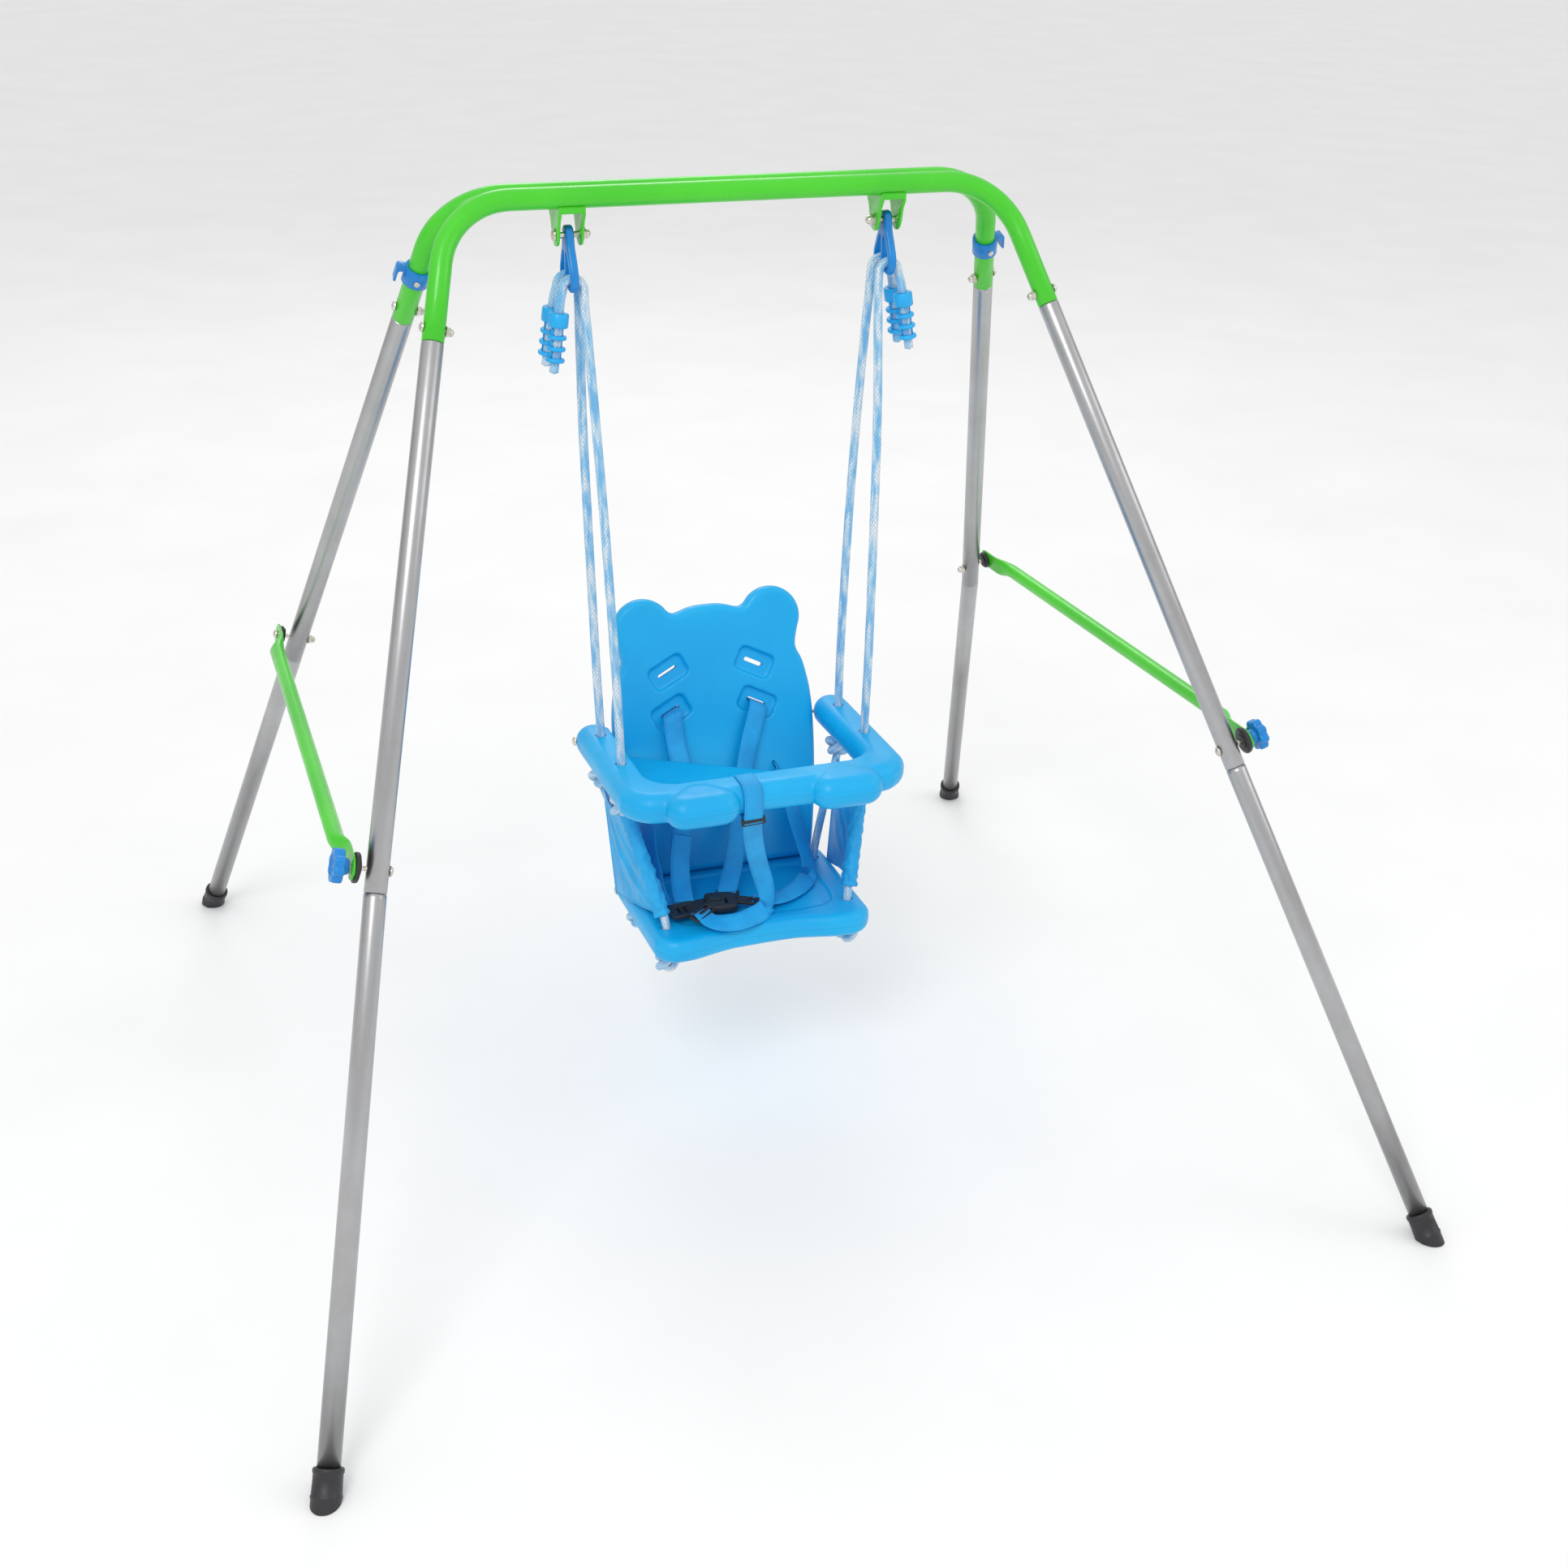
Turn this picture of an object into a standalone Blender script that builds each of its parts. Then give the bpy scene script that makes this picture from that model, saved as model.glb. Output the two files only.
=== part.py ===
"""Folding garden swing for a toddler: two hinged U frames, side braces and a moulded bucket seat.

Units are metres. X runs along the top bar, -Y is the front, +Z is up, and the ground is z = 0.
Tubes, plates and mouldings are hollow where the real ones are, so each piece has its real weight.
"""
import math

import bmesh
import bpy
from mathutils import Matrix, Vector

# ------------------------------------------------------------------ driving dimensions
GAP = 0.0003                 # clearance kept between touching pieces
SIDES = (("left", -1.0), ("right", 1.0))

BAR_Z = 1.180                # height of both top bars
BAR_Y = 0.015                # half the distance between the front and the rear top bar
CORNER_X = 0.335             # where the bar and leg centrelines would meet
BEND_R = 0.090               # bend radius of the U tubes
TUBE_R = 0.0125
TUBE_WALL = 0.0012
TUBE_SIDES = 12
INSERT_R = 0.0106            # swaged tube end that plugs into the next tube
INSERT_LENGTH = 0.060

FRONT = {"y": -1.0, "joint_z": 1.044, "mid": (0.529, 0.377, 0.527), "foot": (0.678, 0.701)}
REAR = {"y": 1.0, "joint_z": 1.030, "mid": (0.506, 0.383, 0.518), "foot": (0.631, 0.701)}
LEG_BOLT_ABOVE = 0.013       # leg bolt, above the lower end of the green tube
BRACE_BOLT_Z = {"front": 0.549, "rear": 0.549}

FOOT_R = 0.0162
FOOT_LENGTH = 0.036
FOOT_FLOOR = 0.022           # leg end above the ground, along the leg

BOLT_R = 0.0030
HOLE_R = 0.0034
STANDOFF = 0.0263            # leg axis to the inner face of the brace's flat end
FLAT_T = 0.0030              # thickness of a flattened brace end
FLAT_HALF = 0.0140
BRACE_R = 0.0095
BRACE_WALL = 0.0010
KNOB_GAP = 0.0024            # free play that lets the brace hook off its bolt
KNOB_R = 0.0200
KNOB_LENGTH = 0.0180
SPACER_T = 0.0060

HANGER_X = 0.196
PIN_Z = 1.136
PIN_R = 0.0040
EAR_T = 0.0030
EAR_X = 0.0140               # ear centre from the hanger's middle

HOOK_T = 0.0100
EYE_Y = 0.0130
EYE_DOWN = 0.0480
EYE_R = 0.0085
ROPE_R = 0.0055
ROPE_LOOP_R = 0.0125
ROPE_HOLE_R = 0.0070

BAR_BOTTOM = 0.450           # guard bar
BAR_T = 0.040
BAR_WALL = 0.0028
BAR_ROPES = {"front": (0.165, -0.048), "rear": (0.165, 0.048)}

BASE_TOP = 0.275
BASE_T = 0.034
BASE_ROPES = {"front": (0.126, -0.100), "rear": (0.126, 0.030)}

BACK_T = 0.022
BACK_FOOT_Y = 0.034
BACK_FOOT_Z = BASE_TOP + 0.003
BACK_LEAN = math.radians(11.5)

STRAP_W = 0.025
STRAP_T = 0.0018
BUCKLE_AT = (-0.057, -0.073, 0.2805)
BUCKLE_SIZE = (0.086, 0.036, 0.0110)
BUCKLE_YAW = math.radians(-10.0)

# Local X and Y of an outline laid along world Y and Z, thickness along world X.
YZ_PLANE = Matrix(((0, 0, 1, 0), (1, 0, 0, 0), (0, 1, 0, 0), (0, 0, 0, 1)))

COLORS = {
    "green_paint": ((0.08, 0.62, 0.05), 0.35, 0.0),
    "galvanised_tube": ((0.55, 0.57, 0.60), 0.35, 0.9),
    "black_plastic": ((0.02, 0.02, 0.022), 0.5, 0.0),
    "blue_plastic": ((0.0, 0.16, 0.62), 0.35, 0.0),
    "seat_plastic": ((0.01, 0.37, 0.85), 0.4, 0.0),
    "adjuster_plastic": ((0.03, 0.35, 0.80), 0.4, 0.0),
    "zinc_bolt": ((0.75, 0.74, 0.70), 0.3, 1.0),
    "rope": ((0.75, 0.85, 0.92), 0.85, 0.0),
    "panel_cloth": ((0.01, 0.27, 0.80), 0.9, 0.0),
    "webbing": ((0.01, 0.28, 0.85), 0.8, 0.0),
}


# ------------------------------------------------------------------ scene and materials
def clear_scene():
    for old in list(bpy.data.objects):
        bpy.data.objects.remove(old, do_unlink=True)


def material(name):
    found = bpy.data.materials.get(name)
    if found:
        return found
    color, roughness, metallic = COLORS[name]
    made = bpy.data.materials.new(name)
    made.use_nodes = True
    shader = made.node_tree.nodes["Principled BSDF"]
    shader.inputs["Base Color"].default_value = (*color, 1.0)
    shader.inputs["Roughness"].default_value = roughness
    shader.inputs["Metallic"].default_value = metallic
    made.diffuse_color = (*color, 1.0)
    return made


def add_object(name, mesh_builder, finish, place=None):
    """Turn a bmesh into an object, with its own material and smooth shading."""
    mesh = bpy.data.meshes.new(name)
    bmesh.ops.recalc_face_normals(mesh_builder, faces=mesh_builder.faces)
    mesh_builder.to_mesh(mesh)
    mesh_builder.free()
    obj = bpy.data.objects.new(name, mesh)
    bpy.context.scene.collection.objects.link(obj)
    mesh.materials.append(material(finish))
    mesh.shade_smooth()
    mesh.set_sharp_from_angle(angle=math.radians(35))
    if place is not None:
        obj.matrix_world = place
    return obj


def guide(obj):
    """Keep a cutter or a joined piece out of the model."""
    obj.hide_render = True
    obj.display_type = "WIRE"
    return obj


def boolean(target, other, operation):
    modifier = target.modifiers.new(operation.lower(), "BOOLEAN")
    modifier.operation = operation
    modifier.object = guide(other)
    return target


def cut(target, *cutters):
    for cutter in cutters:
        boolean(target, cutter, "DIFFERENCE")
    return target


def join(target, *pieces):
    for piece in pieces:
        boolean(target, piece, "UNION")
    return target


def put_on_axis(obj, parent):
    """Parent a piece to the empty on its joint's axis without moving it."""
    obj.parent = parent
    obj.matrix_parent_inverse = parent.matrix_world.inverted()


def axis_empty(name, position):
    empty = bpy.data.objects.new(name, None)
    empty.location = position
    bpy.context.scene.collection.objects.link(empty)
    bpy.context.view_layer.update()
    return empty


# ------------------------------------------------------------------ shape helpers
def axis_frame(origin, direction, up=Vector((0.0, 0.0, 1.0))):
    """Matrix whose Z runs along a direction and whose Y leans towards up."""
    z_axis = Vector(direction).normalized()
    x_axis = Vector(up).cross(z_axis)
    if x_axis.length < 1e-6:
        x_axis = Vector((1.0, 0.0, 0.0))
    x_axis.normalize()
    y_axis = z_axis.cross(x_axis)
    matrix = Matrix((x_axis, y_axis, z_axis)).transposed().to_4x4()
    matrix.translation = Vector(origin)
    return matrix


def ring(mesh_builder, points):
    return [mesh_builder.verts.new(point) for point in points]


def bridge(mesh_builder, ring_a, ring_b):
    count = len(ring_a)
    for index in range(count):
        after = (index + 1) % count
        mesh_builder.faces.new((ring_a[index], ring_a[after], ring_b[after], ring_b[index]))


def circle_points(centre, radius, side_axis, up_axis, count):
    points = []
    for index in range(count):
        angle = 2.0 * math.pi * index / count
        points.append(centre + radius * (math.cos(angle) * side_axis + math.sin(angle) * up_axis))
    return points


def path_frames(points):
    """Side and up axes carried along a path without twisting."""
    tangents = []
    for index in range(len(points)):
        before = points[max(index - 1, 0)]
        after = points[min(index + 1, len(points) - 1)]
        tangents.append((after - before).normalized())
    side = tangents[0].orthogonal().normalized()
    frames = []
    for tangent in tangents:
        side = (side - tangent * side.dot(tangent)).normalized()
        frames.append((side, tangent.cross(side)))
    return frames


def hollow_tube(name, finish, stations, sides=TUBE_SIDES):
    """Open-ended tube through stations of (point, outer radius, inner radius)."""
    points = [Vector(station[0]) for station in stations]
    frames = path_frames(points)
    mesh_builder = bmesh.new()
    outer = []
    inner = []
    for point, station, (side, up_axis) in zip(points, stations, frames):
        outer.append(ring(mesh_builder, circle_points(point, station[1], side, up_axis, sides)))
        inner.append(ring(mesh_builder, circle_points(point, station[2], side, up_axis, sides)))
    for index in range(len(points) - 1):
        bridge(mesh_builder, outer[index], outer[index + 1])
        bridge(mesh_builder, inner[index], inner[index + 1])
    bridge(mesh_builder, outer[0], inner[0])
    bridge(mesh_builder, outer[-1], inner[-1])
    return add_object(name, mesh_builder, finish)


def lathe(name, finish, profile, place, sides=12, closed=False):
    """Turn (radius, height) points about local Z; closed profiles make a ring."""
    mesh_builder = bmesh.new()
    rings = []
    for radius, height in profile:
        centre = Vector((0.0, 0.0, height))
        if radius == 0.0:
            rings.append([mesh_builder.verts.new(centre)])
            continue
        points = circle_points(centre, radius, Vector((1, 0, 0)), Vector((0, 1, 0)), sides)
        rings.append(ring(mesh_builder, points))
    pairs = list(zip(rings, rings[1:]))
    if closed:
        pairs.append((rings[-1], rings[0]))
    for ring_a, ring_b in pairs:
        if len(ring_a) == 1 or len(ring_b) == 1:
            tip, around = (ring_a, ring_b) if len(ring_a) == 1 else (ring_b, ring_a)
            for index in range(sides):
                mesh_builder.faces.new((tip[0], around[index], around[(index + 1) % sides]))
        else:
            bridge(mesh_builder, ring_a, ring_b)
    return add_object(name, mesh_builder, finish, place)


def cylinder(name, start, end, radius, sides=16, finish="zinc_bolt"):
    start = Vector(start)
    length = (Vector(end) - start).length
    profile = [(0.0, 0.0), (radius, 0.0), (radius, length), (0.0, length)]
    return lathe(name, finish, profile, axis_frame(start, Vector(end) - start), sides)


def drill(name, start, end, radius, sides=12):
    return cylinder(name, start, end, radius, sides)


def cap_face(mesh_builder, loop):
    face = mesh_builder.faces.new(loop)
    face.normal_update()
    bmesh.ops.triangulate(mesh_builder, faces=[face], ngon_method="EAR_CLIP")


def prism(name, finish, outline, low, high, place=None):
    """Extrude an outline of (u, v) points from z = low to z = high."""
    mesh_builder = bmesh.new()
    bottom = ring(mesh_builder, [Vector((u, v, low)) for u, v in outline])
    top = ring(mesh_builder, [Vector((u, v, high)) for u, v in outline])
    bridge(mesh_builder, bottom, top)
    cap_face(mesh_builder, bottom)
    cap_face(mesh_builder, top)
    return add_object(name, mesh_builder, finish, place)


def box(name, low, high, finish="zinc_bolt", place=None):
    outline = [(low[0], low[1]), (high[0], low[1]), (high[0], high[1]), (low[0], high[1])]
    return prism(name, finish, outline, low[2], high[2], place)


def inset(outline, distance):
    """Move each point of an anticlockwise outline inwards by a distance."""
    moved = []
    count = len(outline)
    for index in range(count):
        here = Vector(outline[index])
        edge_in = (here - Vector(outline[index - 1])).normalized()
        edge_out = (Vector(outline[(index + 1) % count]) - here).normalized()
        normal_in = Vector((-edge_in.y, edge_in.x))
        normal_out = Vector((-edge_out.y, edge_out.x))
        miter = (normal_in + normal_out) / (1.0 + normal_in.dot(normal_out))
        moved.append(here + distance * miter)
    return moved


def slab(name, finish, outline, thickness, round_r, place, steps=2):
    """Moulded plate with rounded rims, from z = 0 to its thickness."""
    levels = []
    for step in range(steps + 1):
        angle = 0.5 * math.pi * step / steps
        levels.append((round_r * (1.0 - math.sin(angle)), round_r * (1.0 - math.cos(angle))))
    levels += [(shrink, thickness - height) for shrink, height in reversed(levels)]
    mesh_builder = bmesh.new()
    loops = []
    for shrink, height in levels:
        points = [Vector((point[0], point[1], height)) for point in inset(outline, shrink)]
        loops.append(ring(mesh_builder, points))
    for lower, upper in zip(loops, loops[1:]):
        bridge(mesh_builder, lower, upper)
    cap_face(mesh_builder, loops[0])
    cap_face(mesh_builder, loops[-1])
    return add_object(name, mesh_builder, finish, place)


def blow_moulding(name, finish, outline, thickness, round_r, wall, place):
    """Hollow moulding: the holes cut later open its inside."""
    shell = slab(name, finish, outline, thickness, round_r, place)
    lift = Matrix.Translation((0.0, 0.0, wall))
    core = slab(name + "_core", finish, inset(outline, wall), thickness - 2.0 * wall,
                round_r - wall, place @ lift, steps=1)
    return cut(shell, core)


def ribbon(name, finish, line, width=STRAP_W, thickness=STRAP_T):
    """Flat strap along (point, width direction) pairs."""
    points = [Vector(point) for point, _ in line]
    mesh_builder = bmesh.new()
    loops = []
    for index, point in enumerate(points):
        before = points[max(index - 1, 0)]
        after = points[min(index + 1, len(points) - 1)]
        across = Vector(line[index][1]).normalized()
        normal = (after - before).cross(across).normalized()
        side = 0.5 * width * across
        depth = 0.5 * thickness * normal
        corners = (point - side - depth, point + side - depth, point + side + depth, point - side + depth)
        loops.append(ring(mesh_builder, corners))
    for loop_a, loop_b in zip(loops, loops[1:]):
        bridge(mesh_builder, loop_a, loop_b)
    mesh_builder.faces.new(loops[0])
    mesh_builder.faces.new(loops[-1])
    return add_object(name, mesh_builder, finish)


def arc(centre, radius, start_deg, end_deg, steps):
    points = []
    for step in range(steps + 1):
        angle = math.radians(start_deg + (end_deg - start_deg) * step / steps)
        points.append((centre[0] + radius * math.cos(angle), centre[1] + radius * math.sin(angle)))
    return points


def mirrored(half):
    """Close an outline from its right half, which runs from bottom to top."""
    return half + [(-u, v) for u, v in reversed(half) if abs(u) > 1e-6]


# ------------------------------------------------------------------ frame geometry
def leg_points(frame, side):
    """Corner, mid joint and ground point of one leg's centreline."""
    depth = frame["y"]
    corner = Vector((side * CORNER_X, depth * BAR_Y, BAR_Z))
    mid_x, mid_y, mid_z = frame["mid"]
    foot_x, foot_y = frame["foot"]
    mid = Vector((side * mid_x, depth * mid_y, mid_z))
    foot = Vector((side * foot_x, depth * foot_y, 0.0))
    return corner, mid, foot


def on_upper_leg(frame, side, height):
    corner, mid, _ = leg_points(frame, side)
    share = (corner.z - height) / (corner.z - mid.z)
    return corner.lerp(mid, share)


def leg_up(frame, side):
    corner, mid, _ = leg_points(frame, side)
    return (corner - mid).normalized()


def brace_run(side):
    """Direction of a brace, from its rear bolt to its front bolt."""
    front = on_upper_leg(FRONT, side, BRACE_BOLT_Z["front"])
    rear = on_upper_leg(REAR, side, BRACE_BOLT_Z["rear"])
    return (front - rear).normalized()


def outward(frame, side):
    """Bolt direction: square to the leg and to the brace, pointing away from the swing."""
    normal = brace_run(side).cross(leg_up(frame, side)).normalized()
    return normal if normal.x * side > 0.0 else -normal


def u_tube_path(frame):
    """Centreline of a green U tube with its two rounded corners."""
    steps = 6
    ends = [on_upper_leg(frame, side, frame["joint_z"]) for _, side in SIDES]
    corners = [leg_points(frame, side)[0] for _, side in SIDES]
    path = [ends[0]]
    for corner, leg_end, other in ((corners[0], ends[0], corners[1]), (corners[1], ends[1], corners[0])):
        to_leg = (leg_end - corner).normalized()
        to_bar = (other - corner).normalized()
        half_angle = 0.5 * to_leg.angle(to_bar)
        reach = BEND_R / math.tan(half_angle)
        middle = (to_leg + to_bar).normalized()
        centre = corner + middle * (BEND_R / math.sin(half_angle))
        start = (corner + to_leg * reach - centre).normalized()
        end = (corner + to_bar * reach - centre).normalized()
        bend = [centre + BEND_R * start.slerp(end, step / steps) for step in range(steps + 1)]
        path += bend if leg_end is ends[0] else list(reversed(bend))
    path.append(ends[1])
    return path


def build_u_tube(name, frame):
    stations = [(point, TUBE_R, TUBE_R - TUBE_WALL) for point in u_tube_path(frame)]
    tube = hollow_tube(name, "green_paint", stations)
    for side_name, side in SIDES:
        bolt = leg_bolt_place(frame, side)
        reach = outward(frame, side) * 0.03
        cut(tube, drill(name + "_hole_" + side_name, bolt - reach, bolt + reach, HOLE_R))
    return tube


def leg_bolt_place(frame, side):
    return on_upper_leg(frame, side, frame["joint_z"] + LEG_BOLT_ABOVE)


def brace_bolt_place(frame, side):
    key = "front" if frame is FRONT else "rear"
    return on_upper_leg(frame, side, BRACE_BOLT_Z[key])


def build_legs(prefix, frame):
    """Upper and lower silver legs, each plugged into the tube above it, and the foot caps."""
    made = []
    inner_r = TUBE_R - TUBE_WALL
    insert_inner = INSERT_R - TUBE_WALL
    for side_name, side in SIDES:
        _, mid, foot = leg_points(frame, side)
        up = leg_up(frame, side)
        top = on_upper_leg(frame, side, frame["joint_z"]) - up * GAP
        upper = hollow_tube(f"{prefix}_upper_leg_{side_name}", "galvanised_tube", [
            (top + up * INSERT_LENGTH, INSERT_R, insert_inner),
            (top, INSERT_R, insert_inner),
            (top - up * 0.0002, TUBE_R, insert_inner),
            (top - up * 0.004, TUBE_R, inner_r),
            (mid, TUBE_R, inner_r),
        ])
        down = (foot - mid).normalized()
        lower = hollow_tube(f"{prefix}_lower_leg_{side_name}", "galvanised_tube", [
            (mid + up * INSERT_LENGTH, INSERT_R, insert_inner),
            (mid - up * GAP, INSERT_R, insert_inner),
            (mid - up * (GAP + 0.0002), TUBE_R, insert_inner),
            (mid - up * 0.0020, TUBE_R, insert_inner),
            (mid + down * 0.006, TUBE_R, inner_r),
            (foot - down * FOOT_FLOOR, TUBE_R, inner_r),
        ])
        reach = outward(frame, side) * 0.03
        bolt = leg_bolt_place(frame, side)
        cut(upper, drill(upper.name + "_top_hole", bolt - reach, bolt + reach, HOLE_R))
        brace_bolt = brace_bolt_place(frame, side)
        for leg in (upper, lower):
            cut(leg, drill(leg.name + "_brace_hole", brace_bolt - reach, brace_bolt + reach, HOLE_R))
        made += [upper, lower, build_foot(f"{prefix}_foot_{side_name}", foot, down)]
    return made


def build_foot(name, foot, down):
    """Cap over the leg's end, cut level with the ground."""
    leg_end = FOOT_FLOOR - GAP
    bore = TUBE_R / math.cos(math.pi / TUBE_SIDES) + GAP
    profile = [
        (0.0, -0.020), (FOOT_R, -0.020), (FOOT_R, FOOT_LENGTH - 0.002), (FOOT_R - 0.0012, FOOT_LENGTH),
        (bore, FOOT_LENGTH), (bore, leg_end), (0.0, leg_end),
    ]
    cap = lathe(name, "black_plastic", profile, axis_frame(foot, -down))
    return cut(cap, box(name + "_ground", (-1.0, -1.0, -0.1), (1.0, 1.0, 0.0)))


# ------------------------------------------------------------------ bolts and spacers
def bolt(name, centre, direction, head_at, nut_at, radius=BOLT_R, head_r=0.0058, nut_r=0.0055):
    """Round-headed bolt with a domed nut, along a direction through a centre.

    head_at and nut_at are the distances of the two bearing faces from the centre.
    """
    profile = [(0.0, 0.0), (head_r * 0.6, 0.0006), (head_r, 0.0022), (head_r, 0.0030), (radius, 0.0030)]
    length = 0.0030 + head_at + nut_at
    if nut_r:
        profile += [(radius, length), (nut_r, length), (nut_r, length + 0.0045)]
        profile += [(nut_r * 0.75, length + 0.0052), (nut_r * 0.55, length + 0.0080), (0.0, length + 0.0092)]
    else:
        profile += [(radius, length), (0.0, length)]
    start = Vector(centre) + Vector(direction) * (head_at + 0.0030)
    return lathe(name, "zinc_bolt", profile, axis_frame(start, -Vector(direction)), sides=10)


def spacer(name, centre, direction, radius):
    profile = [
        (HOLE_R, 0.0), (radius * 0.7, 0.0), (radius, 0.0020), (radius, SPACER_T), (HOLE_R, SPACER_T),
    ]
    start = Vector(centre) + Vector(direction) * (STANDOFF - GAP - SPACER_T)
    return lathe(name, "black_plastic", profile, axis_frame(start, direction), closed=True)


def build_frame_hardware(prefix, frame):
    made = []
    for side_name, side in SIDES:
        out = outward(frame, side)
        wall = TUBE_R + GAP
        made.append(bolt(f"{prefix}_leg_bolt_{side_name}", leg_bolt_place(frame, side), out, wall, wall))
        place = brace_bolt_place(frame, side)
        if frame is FRONT:
            reach = STANDOFF + FLAT_T + KNOB_GAP + 0.013
            made.append(bolt(f"brace_lock_bolt_{side_name}", place, -out, wall, reach, nut_r=None))
            made.append(spacer(f"front_brace_spacer_{side_name}", place, out, 0.0170))
        else:
            reach = STANDOFF + FLAT_T + 2.0 * GAP
            made.append(bolt(f"brace_pivot_bolt_{side_name}", place, out, reach, wall))
            made.append(spacer(f"rear_brace_spacer_{side_name}", place, out, 0.0120))
    return made


# ------------------------------------------------------------------ braces and knobs
def brace_loop(centre, along, across, half_width, half_depth, squareness, count=12):
    points = []
    for index in range(count):
        angle = 2.0 * math.pi * (index + 0.5) / count
        cos_a = math.cos(angle)
        sin_a = math.sin(angle)
        width = half_width * math.copysign(abs(cos_a) ** squareness, cos_a)
        depth = half_depth * math.copysign(abs(sin_a) ** squareness, sin_a)
        points.append(centre + along * width + across * depth)
    return points


def brace_stations(length):
    """Distance from the rear bolt, half width, half depth and squareness of each section."""
    tip = 0.0150
    flat = 0.5 * FLAT_T
    ends = []
    for share in (1.0, 0.80, 0.0):
        half = max(FLAT_HALF * math.sqrt(1.0 - share * share), 0.004)
        ends.append((tip * share, half, flat, 0.45))
    rear = [(-reach, half, deep, square) for reach, half, deep, square in ends]
    front = [(length + reach, half, deep, square) for reach, half, deep, square in reversed(ends)]
    shank = [
        (0.036, FLAT_HALF, flat, 0.45), (0.052, 0.0124, 0.0056, 0.8), (0.070, BRACE_R, BRACE_R, 1.0),
        (length - 0.070, BRACE_R, BRACE_R, 1.0), (length - 0.052, 0.0124, 0.0056, 0.8),
        (length - 0.036, FLAT_HALF, flat, 0.45),
    ]
    return rear + shank + front


def build_brace(side_name, side):
    """Steel tube with flattened ends: a hole at the rear, an open hook slot at the front."""
    rear = brace_bolt_place(REAR, side)
    front = brace_bolt_place(FRONT, side)
    out = outward(REAR, side)
    run = (front + outward(FRONT, side) * STANDOFF - rear - out * STANDOFF)
    length = run.length
    run.normalize()
    rise = out.cross(run)
    if rise.z < 0.0:
        rise = -rise
    mesh_builder = bmesh.new()
    outer = []
    inner = []
    for reach, half, deep, square in brace_stations(length):
        centre = rear + out * (STANDOFF + deep) + run * reach
        outer.append(ring(mesh_builder, brace_loop(centre, rise, out, half, deep, square)))
        core_half = half - BRACE_WALL
        core_deep = max(deep - BRACE_WALL, 0.0004)
        inner.append(ring(mesh_builder, brace_loop(centre, rise, out, core_half, core_deep, square)))
    for loops in (outer, inner):
        for loop_a, loop_b in zip(loops, loops[1:]):
            bridge(mesh_builder, loop_a, loop_b)
    bridge(mesh_builder, outer[0], inner[0])
    bridge(mesh_builder, outer[-1], inner[-1])
    brace = add_object(f"brace_{side_name}", mesh_builder, "green_paint")
    cut(brace, drill(brace.name + "_rear_hole", rear, rear + out * 0.06, HOLE_R))
    slot_frame = Matrix((run, rise, out)).transposed().to_4x4()
    slot_frame.translation = rear + run * length
    return cut(brace, hook_slot(brace.name + "_slot", slot_frame))


def hook_slot(name, place):
    """Cutter of the brace's open hook: a hole that runs out down and rearwards."""
    half = 0.0036
    way = Vector((-0.474, -0.881))
    side = Vector((-way.y, way.x))
    far = way * 0.030
    outline = [(half * side.x, half * side.y), (far.x + half * side.x, far.y + half * side.y)]
    outline += [(far.x - half * side.x, far.y - half * side.y), (-half * side.x, -half * side.y)]
    start = math.degrees(math.atan2(-side.y, -side.x))
    outline += arc((0.0, 0.0), half, start - 20.0, start - 160.0, 7)
    return prism(name, "zinc_bolt", outline, 0.0, 0.06, place)


def build_knob(side_name, side):
    """Lobed hand knob that screws onto the front brace bolt."""
    out = outward(FRONT, side)
    start = brace_bolt_place(FRONT, side) + out * (STANDOFF + FLAT_T + KNOB_GAP)
    place = axis_frame(start, out)
    outline = []
    count = 32
    for index in range(count):
        angle = 2.0 * math.pi * index / count
        radius = KNOB_R - 0.0016 + 0.0016 * math.cos(8.0 * angle)
        outline.append((radius * math.cos(angle), radius * math.sin(angle)))
    name = f"knob_{side_name}"
    knob = slab(name, "blue_plastic", outline, KNOB_LENGTH - 0.006, 0.0025, place @ Matrix.Translation((0, 0, 0.006)), steps=2)
    hub = lathe(name + "_hub", "blue_plastic", [(0.0, 0.0), (0.0085, 0.0), (0.0100, 0.008), (0.0, 0.008)], place)
    dish = lathe(name + "_dish", "blue_plastic", [(0.0, 0.0145), (0.009, 0.0150), (0.0145, 0.020), (0.0, 0.020)], place)
    bore = drill(name + "_bore", start - out * 0.01, start + out * 0.0135, HOLE_R)
    join(knob, hub)
    return cut(knob, dish, bore)


# ------------------------------------------------------------------ hangers and hooks
def bar_cylinder(name, centre_x, half_length, depth, radius):
    """Solid around one of the two bars, on either side of a hanger's middle."""
    start = (centre_x - half_length, depth * BAR_Y, BAR_Z)
    end = (centre_x + half_length, depth * BAR_Y, BAR_Z)
    return cylinder(name, start, end, radius, 20, "green_paint")


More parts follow.
